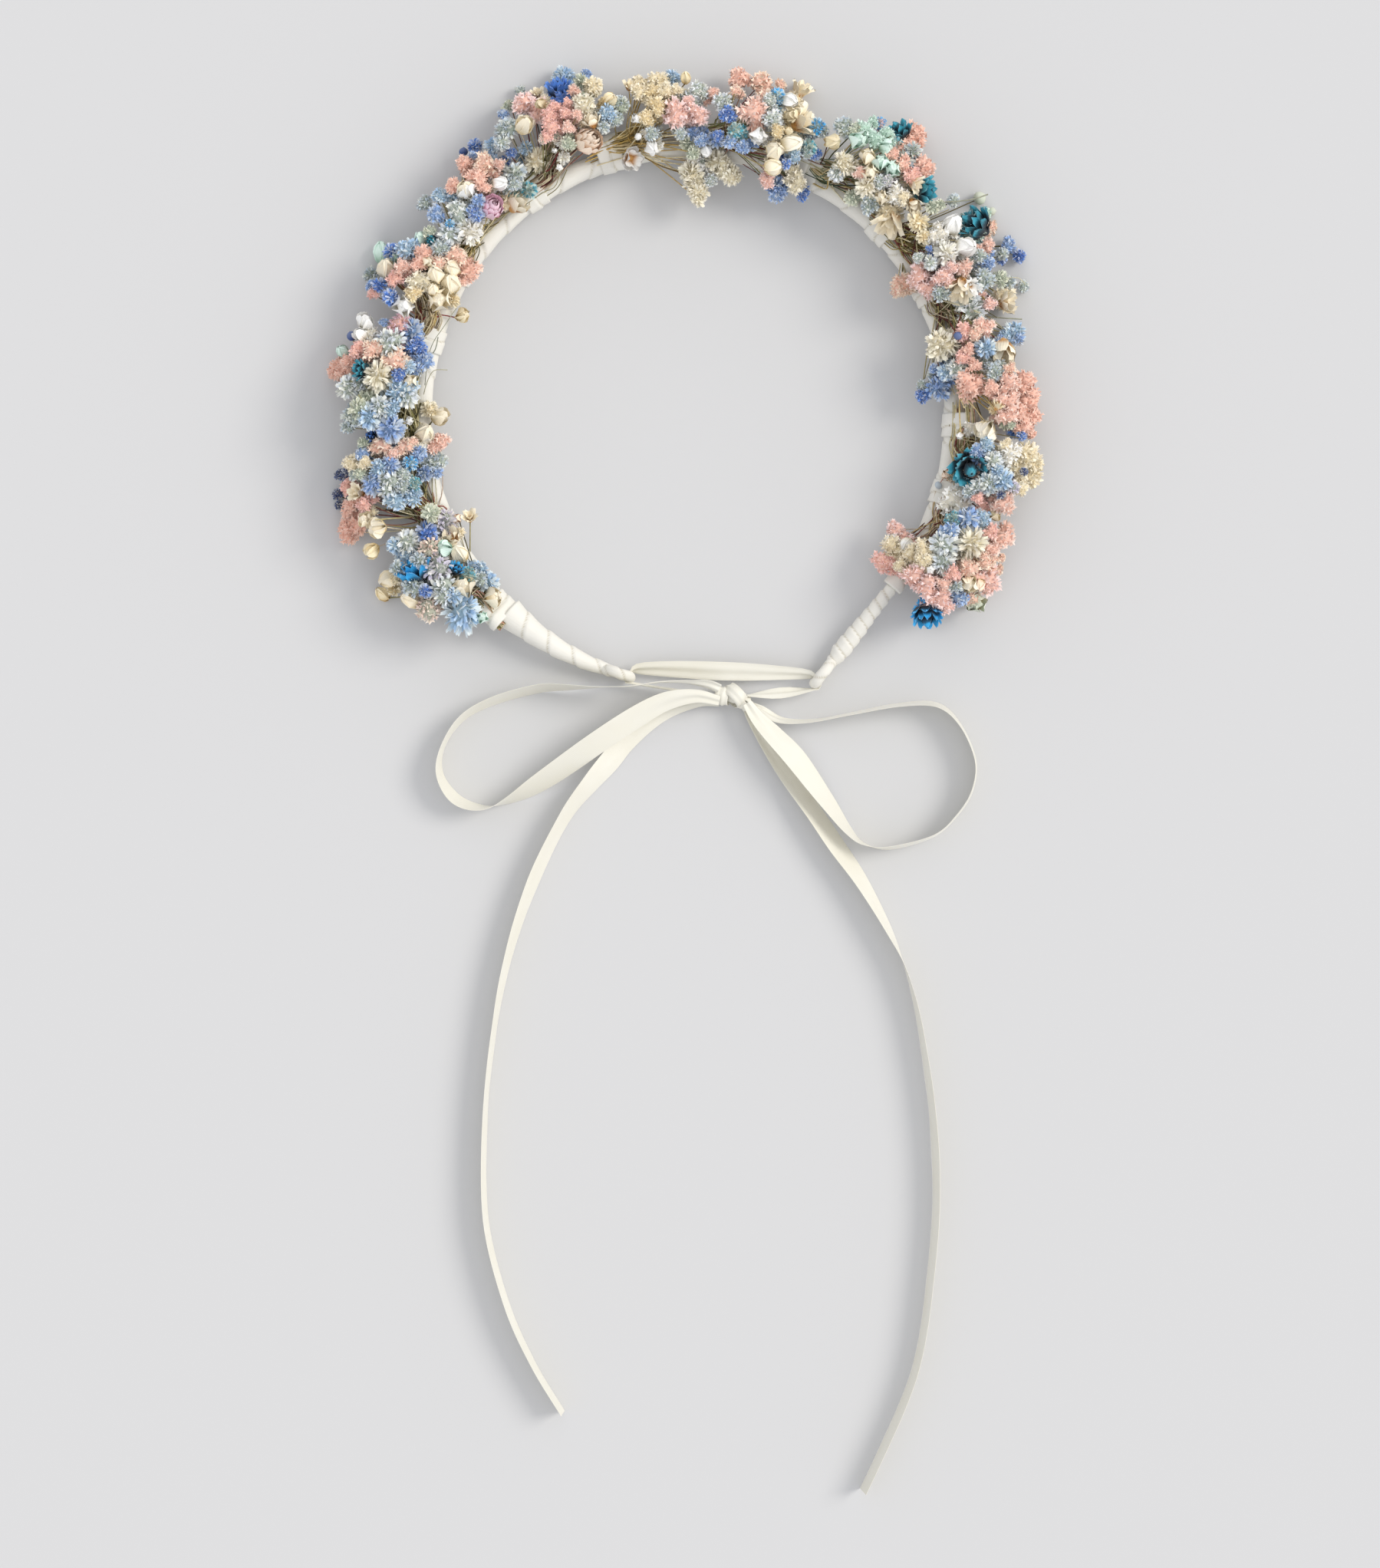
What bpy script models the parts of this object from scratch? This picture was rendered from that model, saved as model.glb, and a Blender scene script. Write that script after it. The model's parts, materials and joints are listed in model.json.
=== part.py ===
# Flower crown: a wire lasso wrapped in floral tape, fourteen bound bunches of dried
# flowers, and one satin ribbon threaded through both wire eyes and tied in a bow.
# Metres, +Z up. The origin is the middle of the head opening, on the table top, and
# -Y points to the bow. Angles are polar angles about the origin, in degrees.
import math

import bmesh
import bpy
from mathutils import Vector

for leftover in list(bpy.data.objects):
    bpy.data.objects.remove(leftover, do_unlink=True)

MM = 0.001
CLEARANCE = 0.3 * MM  # gap between pieces that touch on the real crown

# Wire frame
RING_RADIUS = 93.0 * MM  # centreline of the band
ARC_LEFT_END = 252.0  # where the wire runs into its left eye
ARC_RIGHT_END = -38.7  # where the ring turns into the straight right arm
RIGHT_ARM_LENGTH = 36.2 * MM  # straight run from there to the right eye
WIRE_RADIUS = 1.1 * MM
BAND_HEIGHT = 8.2 * MM  # wire over the table, between the bunches
TIP_HEIGHT = 4.8 * MM  # wire over the table, at both eyes
TIP_FALL = 16.0  # degrees over which the wire comes down to its tips
EYE_HOLE_LENGTH = 6.4 * MM
EYE_HOLE_HEIGHT = 4.4 * MM
EYE_ROD_RADIUS = 1.3 * MM  # doubled wire of the eye

# Floral tape
BAND_RADIUS = 3.7 * MM
LEFT_WRAP_RADII = (5.2 * MM, 3.4 * MM, 2.4 * MM)  # from the flowers to the eye
RIGHT_WRAP_RADII = (2.9 * MM, 2.8 * MM, 3.7 * MM)
LEFT_WRAP_START = 229.6
RIGHT_WRAP_START = -40.4
TAPE_THICKNESS = 0.8 * MM  # turns that bind a bunch's stems
BINDING_ANGLE = 5.0  # length of a binding, in degrees of the ring

# Bunches: stems lie on the band and point to the larger angle
STEM_BUNDLE_RADIUS = 2.1 * MM
STEM_ELEVATION = 36.0  # where the stems lie on the band's section, up from outwards
STEM_RUN = 15.0  # degrees from a bunch's heads to the cut ends of its stems
STEM_SPACING = 1.4  # degrees between one bunch's cut ends and the next one's stems
STEM_STUB = 1.0  # degrees of cut stems that stick out of their binding
BLOOM_HALF_SPAN = 11.0  # degrees, where the neighbours leave room
HEAD_LUMP = 1.1 * MM  # how far single heads swell a bunch's outside
# angle, reach inside the band, reach outside it, height, flower colour
BUNCHES = (
    (214.0, 5.0 * MM, 28.0 * MM, 27.0 * MM, "blue"),
    (194.6, 6.0 * MM, 31.0 * MM, 28.0 * MM, "blue"),
    (175.8, 5.0 * MM, 31.0 * MM, 31.0 * MM, "pale"),
    (152.4, 5.0 * MM, 28.0 * MM, 29.0 * MM, "cream"),
    (135.9, 4.0 * MM, 28.0 * MM, 28.0 * MM, "coral"),
    (113.8, 3.0 * MM, 32.0 * MM, 31.0 * MM, "coral"),
    (95.3, 9.0 * MM, 26.0 * MM, 28.0 * MM, "cream"),
    (75.9, 11.0 * MM, 27.0 * MM, 30.0 * MM, "blue"),
    (52.5, 4.0 * MM, 33.0 * MM, 31.0 * MM, "pale"),
    (32.3, 6.0 * MM, 31.0 * MM, 30.0 * MM, "coral"),
    (16.8, 11.0 * MM, 27.0 * MM, 28.0 * MM, "blue"),
    (2.7, 5.0 * MM, 30.0 * MM, 29.0 * MM, "coral"),
    (-10.3, 4.0 * MM, 31.0 * MM, 30.0 * MM, "pale"),
    (-28.5, 7.0 * MM, 28.0 * MM, 30.0 * MM, "blue"),
)

# Ribbon
RIBBON_WIDTH = 10.0 * MM
RIBBON_THICKNESS = 0.5 * MM
TIE_WIDTH = 5.0 * MM  # the ribbon gathered between the eyes
TIE_SAG = 1.2 * MM  # how far its strands bow out of a straight line
GATHERED_WIDTH = 3.4 * MM  # the ribbon where it enters the knot
KNOT_LENGTH = 9.0 * MM
KNOT_RADIUS = 4.3 * MM
TABLE_GAP = 0.1 * MM  # under the strips that stand on the table
KNOT_OFFSET = Vector((3.7, -5.4, 0.0)) * MM  # from the middle between both eyes

# Mesh fineness
ROUND_SIDES = 10
BINDING_SIDES = 14
BAND_STEP = 5.0  # degrees between the band's stations
RIBBON_STEPS = 3  # stations for each point of a ribbon's route
BLOOM_STATIONS = 9


def material(name, colour, roughness, metallic=0.0):
    made = bpy.data.materials.new(name)
    made.use_nodes = True
    shader = made.node_tree.nodes["Principled BSDF"]
    linear = [((int(colour[i : i + 2], 16) / 255 + 0.055) / 1.055) ** 2.4 for i in (0, 2, 4)]
    shader.inputs["Base Color"].default_value = (*linear, 1.0)
    shader.inputs["Roughness"].default_value = roughness
    shader.inputs["Metallic"].default_value = metallic
    made.diffuse_color = (*linear, 1.0)
    return made


wire_steel = material("wire_steel", "8A8C8A", 0.35, 1.0)
floral_tape = material("floral_tape", "F2EFE6", 0.75)
satin_ribbon = material("satin_ribbon", "F4F1E4", 0.4)
dried_stems = material("dried_stems", "8F8455", 0.8)
petals = {
    "blue": material("petals_blue", "6F92C4", 0.85),
    "pale": material("petals_pale", "B9CBDD", 0.85),
    "cream": material("petals_cream", "EBE2CB", 0.85),
    "coral": material("petals_coral", "E79C8C", 0.85),
}


def add_object(name, bm, slot):
    bmesh.ops.recalc_face_normals(bm, faces=bm.faces)
    mesh = bpy.data.meshes.new(name)
    bm.to_mesh(mesh)
    bm.free()
    mesh.materials.append(slot)
    mesh.shade_smooth()
    mesh.set_sharp_from_angle(angle=math.radians(45))
    made = bpy.data.objects.new(name, mesh)
    bpy.context.scene.collection.objects.link(made)
    return made


def bridge(bm, rings, ring_closes=False):
    # Quads between each ring of vertices and the next
    pairs = list(zip(rings, rings[1:]))
    if ring_closes:
        pairs.append((rings[-1], rings[0]))
    for first, second in pairs:
        for i in range(len(first)):
            j = (i + 1) % len(first)
            bm.faces.new((first[i], first[j], second[j], second[i]))


def loft(name, outlines, slot, ring_closes=False):
    # A solid through equal outlines, capped unless it closes on itself
    bm = bmesh.new()
    rings = [[bm.verts.new(point) for point in outline] for outline in outlines]
    bridge(bm, rings, ring_closes)
    if not ring_closes:
        bm.faces.new(rings[0])
        bm.faces.new(rings[-1])
    return add_object(name, bm, slot)


def sleeve(name, outer_outlines, inner_outlines, slot):
    # A tube wall between outer and inner outlines, open at both ends
    bm = bmesh.new()
    outer = [[bm.verts.new(point) for point in outline] for outline in outer_outlines]
    inner = [[bm.verts.new(point) for point in outline] for outline in inner_outlines]
    bridge(bm, outer)
    bridge(bm, inner)
    bridge(bm, [outer[0], inner[0]])
    bridge(bm, [outer[-1], inner[-1]])
    return add_object(name, bm, slot)


def smooth_step(value):
    value = min(max(value, 0.0), 1.0)
    return value * value * (3 - 2 * value)


# ---- The band's centreline -------------------------------------------------


def outward_at(angle):
    turn = math.radians(max(angle, ARC_RIGHT_END))
    return Vector((math.cos(turn), math.sin(turn), 0.0))


def clockwise_at(angle):
    outward = outward_at(angle)
    return Vector((outward.y, -outward.x, 0.0))


def arm_angle(length):
    # The straight arm carries on the ring's angles: this far along it
    return ARC_RIGHT_END - math.degrees(length / RING_RADIUS)


RIGHT_WIRE_END = arm_angle(RIGHT_ARM_LENGTH)


def band_height(angle):
    left = (ARC_LEFT_END - angle) / TIP_FALL
    right = (angle - RIGHT_WIRE_END) / TIP_FALL
    share = smooth_step(min(left, right))
    return TIP_HEIGHT + (BAND_HEIGHT - TIP_HEIGHT) * share


def band_point(angle, out=0.0, up=0.0):
    # A point beside the band: out from its centreline and up from it
    centre = RING_RADIUS * outward_at(angle)
    if angle < ARC_RIGHT_END:
        centre += clockwise_at(angle) * RING_RADIUS * math.radians(ARC_RIGHT_END - angle)
    centre.z = band_height(angle) + up
    return centre + out * outward_at(angle)


def angles_between(start, end, step=BAND_STEP):
    count = max(2, math.ceil(abs(end - start) / step))
    return [start + (end - start) * i / count for i in range(count + 1)]


def wrapped(circles, margin, sides=ROUND_SIDES):
    # The outline that a tape pulled tight round circles in the band's section takes
    outline = []
    for i in range(sides):
        turn = 2 * math.pi * (i + 0.5) / sides
        across, up = math.cos(turn), math.sin(turn)
        out, rise, radius = max(circles, key=lambda c: c[0] * across + c[1] * up + c[2])
        outline.append((out + (radius + margin) * across, rise + (radius + margin) * up))
    return outline


def along_band(angles, outline_at):
    return [[band_point(a, out, up) for out, up in outline_at(a)] for a in angles]


# ---- Wire with an eye at each end ------------------------------------------

EYE_HALF_LENGTH = EYE_HOLE_LENGTH / 2 + EYE_ROD_RADIUS
EYE_HALF_HEIGHT = EYE_HOLE_HEIGHT / 2 + EYE_ROD_RADIUS


def eye_at(wire_end, along):
    # The eye's centre and the middle of the rod at its far end
    centre = band_point(wire_end) + along * EYE_HALF_LENGTH
    return centre, centre + along * EYE_HALF_LENGTH


left_along = -clockwise_at(ARC_LEFT_END)
right_along = clockwise_at(RIGHT_WIRE_END)
left_eye, left_far = eye_at(ARC_LEFT_END, left_along)
right_eye, right_far = eye_at(RIGHT_WIRE_END, right_along)


def eye_loop(name, centre, along, sides=8, stations=20):
    outlines = []
    for i in range(stations):
        turn = 2 * math.pi * i / stations
        on_loop = centre + along * EYE_HALF_LENGTH * math.cos(turn)
        on_loop.z += EYE_HALF_HEIGHT * math.sin(turn)
        slope = along * EYE_HALF_HEIGHT * math.cos(turn)
        slope.z = EYE_HALF_LENGTH * math.sin(turn)
        slope.normalize()
        side = Vector((along.y, -along.x, 0.0))
        outlines.append(
            [
                on_loop
                + EYE_ROD_RADIUS * (slope * math.cos(p) + side * math.sin(p))
                for p in (2 * math.pi * (k + 0.5) / sides for k in range(sides))
            ]
        )
    return loft(name, outlines, wire_steel, ring_closes=True)


def build_frame_wire():
    wire_angles = angles_between(ARC_LEFT_END, RIGHT_WIRE_END)
    section = wrapped([(0.0, 0.0, WIRE_RADIUS)], 0.0, sides=8)
    wire = loft("frame_wire", along_band(wire_angles, lambda a: section), wire_steel)
    eyes = (("left_eye_rod", left_eye, left_along), ("right_eye_rod", right_eye, right_along))
    for name, centre, along in eyes:
        loop = eye_loop(name, centre, along)
        loop.hide_render = True
        loop.display_type = "WIRE"
        join = wire.modifiers.new(name, "BOOLEAN")
        join.operation = "UNION"
        join.solver = "EXACT"
        join.object = loop
    return wire


# ---- Tape on the wire ------------------------------------------------------

WIRE_HOLE_RADIUS = WIRE_RADIUS + 2 * CLEARANCE  # room for the wire's flat stretches


def wrap_sleeve(name, start, end, radii):
    # Tape wound over the wire; its radius runs through the three given ones
    def radius_at(angle):
        share = 2 * (angle - start) / (end - start)
        step = min(int(share), 1)
        return radii[step] + (radii[step + 1] - radii[step]) * (share - step)

    angles = angles_between(start, end)
    outer = along_band(angles, lambda a: wrapped([(0.0, 0.0, radius_at(a))], 0.0))
    inner = along_band(angles, lambda a: wrapped([(0.0, 0.0, WIRE_HOLE_RADIUS)], 0.0))
    return sleeve(name, outer, inner, floral_tape)


def degrees_of(length):
    return math.degrees(length / RING_RADIUS)


def build_tape():
    gap = degrees_of(CLEARANCE)
    eye_gap = degrees_of(EYE_ROD_RADIUS + CLEARANCE)
    band_radii = (BAND_RADIUS,) * 3
    wrap_sleeve("band_wrap", LEFT_WRAP_START - gap, RIGHT_WRAP_START + gap, band_radii)
    wrap_sleeve("left_end_wrap", LEFT_WRAP_START, ARC_LEFT_END - eye_gap, LEFT_WRAP_RADII)
    wrap_sleeve("right_end_wrap", RIGHT_WRAP_START, RIGHT_WIRE_END + eye_gap, RIGHT_WRAP_RADII)


# ---- Bunches ---------------------------------------------------------------

STEM_DISTANCE = BAND_RADIUS + STEM_BUNDLE_RADIUS + 2 * CLEARANCE
STEM_OUT = STEM_DISTANCE * math.cos(math.radians(STEM_ELEVATION))
STEM_UP = STEM_DISTANCE * math.sin(math.radians(STEM_ELEVATION))
BINDING_REACH = STEM_BUNDLE_RADIUS + 2 * CLEARANCE + TAPE_THICKNESS
# The heads keep out of the corner that the band, stems and bindings take
CORNER_OUT = STEM_OUT + BINDING_REACH
CORNER_UP = STEM_UP + BINDING_REACH


def neighbour_angles(index):
    before = BUNCHES[index - 1][0] if index else None
    after = BUNCHES[index + 1][0] if index + 1 < len(BUNCHES) else None
    return before, after


def stems_reach(index):
    # Start and end angle of a bunch's stems on the band
    angle = BUNCHES[index][0]
    before, _ = neighbour_angles(index)
    end = angle + STEM_RUN if before is None else min(angle + STEM_RUN, before - STEM_SPACING)
    return angle, end


def build_stems(index, node):
    start, end = stems_reach(index)
    stems = 6  # lobes of the section, one for each visible stem

    def section(angle):
        outline = []
        for i in range(2 * stems):
            turn = math.pi * (i + 0.2) / stems
            radius = STEM_BUNDLE_RADIUS * (1.0 if i % 2 else 0.8)
            out = STEM_OUT + radius * math.cos(turn)
            outline.append((out, STEM_UP + radius * math.sin(turn)))
        return outline

    return loft(node, along_band(angles_between(start, end), section), dried_stems)


def build_binding(index, node):
    _, end = stems_reach(index)
    circles = ((0.0, 0.0, BAND_RADIUS), (STEM_OUT, STEM_UP, STEM_BUNDLE_RADIUS))
    inner_margin = CLEARANCE * 1.4  # the flats between its corners still clear the stems
    outer_margin = inner_margin + TAPE_THICKNESS
    last = end - STEM_STUB
    angles = angles_between(last - BINDING_ANGLE, last, BINDING_ANGLE / 2)
    outer = along_band(angles, lambda a: wrapped(circles, outer_margin, BINDING_SIDES))
    inner = along_band(angles, lambda a: wrapped(circles, inner_margin, BINDING_SIDES))
    return sleeve(node, outer, inner, floral_tape)


def blooms_span(index):
    # Start and end angle of a bunch's heads, halfway to each neighbour at most
    angle = BUNCHES[index][0]
    before, after = neighbour_angles(index)
    gap = degrees_of(CLEARANCE)
    high = angle + BLOOM_HALF_SPAN
    low = angle - BLOOM_HALF_SPAN
    if before is not None:
        high = min(high, (angle + before) / 2 - gap)
    if after is not None:
        low = max(low, (angle + after) / 2 + gap)
    return low, high


def build_blooms(index, node):
    # Heads hang over the band's corner: outside it to the table and above it inwards
    _, inside, outside, height, colour = BUNCHES[index]
    low, high = blooms_span(index)
    floor = -BAND_HEIGHT
    top = height - BAND_HEIGHT

    def section(angle):
        share = (angle - low) / (high - low)
        fullness = 0.5 + 0.5 * math.sin(math.pi * share) ** 0.5
        depth = outside - CORNER_OUT
        rise = (top - CORNER_UP) * fullness
        lean = (inside + CORNER_OUT) * fullness
        rounded = (
            (0.98, floor * 0.55),
            (1.0, floor * 0.05),
            (0.96, CORNER_UP * 0.8),
            (0.78, CORNER_UP + rise * 0.55),
            (0.42, CORNER_UP + rise * 0.95),
        )
        outline = [(CORNER_OUT, floor), (CORNER_OUT + depth * fullness * 0.72, floor)]
        for i, (across, up) in enumerate(rounded):
            lump = HEAD_LUMP * math.sin(5.0 * index + 2.1 * i + 9.0 * share)
            outline.append((CORNER_OUT + depth * fullness * across + lump, up))
        outline.append((CORNER_OUT * 0.45, CORNER_UP + rise))
        outline.append((CORNER_OUT - lean * 0.75, CORNER_UP + rise * 0.85))
        outline.append((CORNER_OUT - lean, CORNER_UP + rise * 0.4))
        outline.append((CORNER_OUT - lean * 0.94, CORNER_UP))
        outline.append((CORNER_OUT, CORNER_UP))
        return outline

    angles = angles_between(low, high, (high - low) / (BLOOM_STATIONS - 1))
    return loft(node, along_band(angles, section), petals[colour])


def build_bunches():
    for index in range(len(BUNCHES)):
        name = f"bunch_{index + 1:02d}"
        build_blooms(index, name + "_blooms")
        build_stems(index, name + "_stems")
        build_binding(index, name + "_binding")


# ---- Ribbon ----------------------------------------------------------------

knot = (left_far + right_far) / 2 + KNOT_OFFSET
knot.z = TIP_HEIGHT
KNOT_REACH = KNOT_LENGTH / 2 + CLEARANCE  # from its middle to each strand's start


def spline(points, steps=RIBBON_STEPS):
    # Catmull-Rom through rows of numbers: x, y, z, roll and width
    rows = [points[0], *points, points[-1]]
    found = []
    for i in range(len(points) - 1):
        p0, p1, p2, p3 = rows[i : i + 4]
        for k in range(steps):
            t = k / steps
            found.append(
                tuple(
                    b
                    + 0.5 * t * (c - a + t * (2 * a - 5 * b + 4 * c - d + t * (3 * (b - c) + d - a)))
                    for a, b, c, d in zip(p0, p1, p2, p3)
                )
            )
    found.append(points[-1])
    return found


def ribbon(name, route, steps=RIBBON_STEPS):
    # A flat strip along a route; roll 0 lies flat and 90 stands on edge
    rows = spline(route, steps)
    places = [Vector(row[:3]) for row in rows]
    outlines = []
    for i, row in enumerate(rows):
        run = (places[min(i + 1, len(rows) - 1)] - places[max(i - 1, 0)]).normalized()
        side = Vector((-run.y, run.x, 0.0)).normalized()
        rise = run.cross(side).normalized()
        roll = math.radians(row[3])
        across = (side * math.cos(roll) + rise * math.sin(roll)) * row[4] / 2
        through = (rise * math.cos(roll) - side * math.sin(roll)) * RIBBON_THICKNESS / 2
        place = places[i]
        outlines.append(
            [
                place - across - through,
                place + across - through,
                place + across + through,
                place - across + through,
            ]
        )
    return loft(name, outlines, satin_ribbon)


def beside(anchor, x, y, z, roll, width):
    # A route point x and y from an anchor and z over the table, all in millimetres
    return (anchor.x + x * MM, anchor.y + y * MM, z * MM, roll, width * MM)


def on_table(anchor, x, y, roll, width=RIBBON_WIDTH / MM):
    # The same, where the strip's lower edge rests on the table
    turn = math.radians(roll)
    half_height = (width * abs(math.sin(turn)) + RIBBON_THICKNESS / MM * abs(math.cos(turn))) / 2
    return beside(anchor, x, y, half_height + TABLE_GAP / MM, roll, width)


def turn_round(far, heading_in, heading_out, radius, count=6):
    # Clockwise turn about an eye's far rod, from one heading to another
    start = math.atan2(heading_in.x, -heading_in.y)
    end = math.atan2(heading_out.x, -heading_out.y)
    while end > start:
        end -= 2 * math.pi
    return [
        far + radius * Vector((math.cos(a), math.sin(a), 0.0))
        for a in (start + (end - start) * i / count for i in range(count + 1))
    ]


def build_tie():
    # From the knot through the left eye, across, through the right eye and back
    turn_radius = EYE_ROD_RADIUS + CLEARANCE * 1.5 + RIBBON_THICKNESS / 2
    from_middle = (EYE_HALF_LENGTH - turn_radius + RIBBON_THICKNESS) / (EYE_HOLE_LENGTH / 2)
    through_eye = EYE_HOLE_HEIGHT * math.sqrt(1 - from_middle**2) - 2 * CLEARANCE
    west = knot - Vector((KNOT_REACH, 0, 0))
    east = knot + Vector((KNOT_REACH, 0, 0))
    to_left = (left_far - west).normalized()
    across = (right_far - left_far).normalized()
    to_knot = (east - right_far).normalized()
    route = [(*west, 90.0, GATHERED_WIDTH)]
    middle = (west + left_far) / 2 - Vector((0, TIE_SAG, 0))
    route.append((middle.x, middle.y, TIP_HEIGHT, 90.0, GATHERED_WIDTH))
    for place in turn_round(left_far, to_left, across, turn_radius):
        route.append((*place, 90.0, through_eye))
    for share, roll in ((0.25, 60.0), (0.5, 40.0), (0.75, 60.0)):
        place = left_far.lerp(right_far, share)
        place.y += turn_radius + TIE_SAG
        route.append((place.x, place.y, TIP_HEIGHT, roll, TIE_WIDTH))
    for place in turn_round(right_far, across, to_knot, turn_radius):
        route.append((*place, 90.0, through_eye))
    middle = (east + right_far) / 2 - Vector((0, TIE_SAG, 0))
    route.append((middle.x, middle.y, TIP_HEIGHT, 75.0, GATHERED_WIDTH))
    route.append((*east, 90.0, GATHERED_WIDTH))
    return ribbon("tie_strand", route, 2)


def build_knot():
    # A pinched barrel on the line that the bow swings about
    outlines = []
    for share, fullness in ((-0.5, 0.8), (-0.2, 1.0), (0.2, 1.0), (0.5, 0.8)):
        centre = knot + Vector((KNOT_LENGTH * share, 0, 0))
        outlines.append(
            [
                centre
                + KNOT_RADIUS * fullness * Vector((0, math.cos(a), math.sin(a)))
                for a in (2 * math.pi * (i + 0.5) / 12 for i in range(12))
            ]
        )
    return loft("bow_knot", outlines, satin_ribbon)


def build_bow():
    full = RIBBON_WIDTH / MM
    reach = KNOT_REACH / MM
    ribbon(
        "left_loop",
        [
            beside(knot, -reach, 2.4, 8.4, -20, 3.4),
            beside(knot, -9.0, 4.0, 9.4, -50, 4.6),
            beside(knot, -16.4, 4.7, 10.6, -78, 5.6),
            beside(knot, -26.0, 4.6, 11.6, -88, 7.0),
            beside(left_far, 0.5, -3.3, 12.2, -90, 8.4),
            beside(left_far, -9.5, -3.5, 10.6, -90, full),
            beside(knot, -57.7, 2.9, 7.4, -80, full),
            on_table(knot, -68.3, 2.4, -74),
            on_table(knot, -83.3, -1.6, -74),
            on_table(knot, -94.6, -7.7, -80),
            on_table(knot, -101.4, -17.6, -84),
            on_table(knot, -102.6, -27.4, -78),
            on_table(knot, -97.2, -36.0, -69),
            on_table(knot, -88.2, -39.1, -79),
            on_table(knot, -78.8, -36.7, -103),
            beside(knot, -66.4, -29.6, 6.6, -132, full),
            beside(knot, -47.0, -16.1, 10.6, -140, full),
            beside(knot, -33.0, -7.0, 10.4, -142, 9.4),
            beside(knot, -23.0, -1.9, 9.6, -146, 7.6),
            beside(knot, -13.0, -0.2, 8.8, -158, 4.8),
            beside(knot, -reach, -1.8, 8.4, -180, 3.2),
        ],
    )
    ribbon(
        "left_tail",
        [
            beside(knot, -reach, -2.0, 1.5, 0, 3.4),
            beside(knot, -12.0, -1.6, 1.4, -4, 4.6),
            on_table(knot, -22.0, -4.4, -10, 6.0),
            on_table(knot, -30.0, -9.0, -18, 7.2),
            on_table(knot, -38.2, -16.6, -24, 7.8),
            on_table(knot, -43.2, -22.8, -34, 8.8),
            on_table(knot, -50.0, -30.8, -54),
            on_table(knot, -59.2, -43.0, -66),
            on_table(knot, -70.0, -65.1, -67),
            on_table(knot, -78.8, -91.7, -76),
            on_table(knot, -84.0, -119.7, -82),
            on_table(knot, -86.8, -149.1, -82),
            on_table(knot, -86.5, -183.2, -82),
            on_table(knot, -79.5, -211.9, -82),
            on_table(knot, -70.4, -232.8, -83),
            on_table(knot, -59.6, -251.0, -84),
        ],
    )
    ribbon(
        "right_loop",
        [
            beside(knot, reach, -2.6, 8.4, 0, 3.2),
            beside(knot, 8.6, -8.0, 8.2, -24, 5.6),
            beside(knot, 14.3, -14.0, 8.4, -38, 8.6),
            beside(knot, 22.2, -22.6, 8.6, -41, full),
            beside(knot, 33.0, -37.2, 7.4, -56, full),
            beside(knot, 40.2, -46.8, 6.0, -72, full),
            on_table(knot, 45.9, -51.8, -86),
            on_table(knot, 54.9, -53.3, -97),
            on_table(knot, 70.1, -49.1, -96),
            on_table(knot, 78.3, -41.9, -96),
            on_table(knot, 83.6, -33.3, -96),
            on_table(knot, 84.8, -22.6, -96),
            on_table(knot, 79.6, -10.4, -98),
            on_table(knot, 71.3, -3.2, -101),
            on_table(knot, 57.8, -3.2, -99),
            on_table(knot, 41.4, -6.3, -95),
            on_table(knot, 28.0, -8.7, -98, 7.6),
            beside(knot, 16.9, -8.5, 4.0, -112, 5.4),
            beside(knot, 9.4, -4.9, 4.6, -150, 3.4),
            beside(knot, reach, -3.2, 4.8, -176, 2.6),
        ],
    )
    ribbon(
        "right_tail",
        [
            beside(knot, reach, -3.6, 1.5, 0, 3.4),
            beside(knot, 8.2, -10.4, 1.4, -14, 4.6),
            on_table(knot, 17.7, -25.6, -36, 7.6),
            on_table(knot, 27.4, -39.5, -50, 9.4),
            on_table(knot, 35.8, -51.8, -53),
            on_table(knot, 45.0, -65.1, -61),
            on_table(knot, 54.8, -82.6, -76),
            on_table(knot, 60.7, -96.6, -91),
            on_table(knot, 65.3, -115.5, -98),
            on_table(knot, 69.6, -145.0, -102),
            on_table(knot, 71.1, -174.3, -102),
            on_table(knot, 69.1, -202.7, -102),
            on_table(knot, 65.3, -229.3, -101),
            on_table(knot, 59.0, -248.9, -101),
            on_table(knot, 45.4, -278.3, -101),
        ],
    )


build_frame_wire()
build_tape()
build_bunches()
build_tie()
build_knot()
build_bow()
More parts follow.
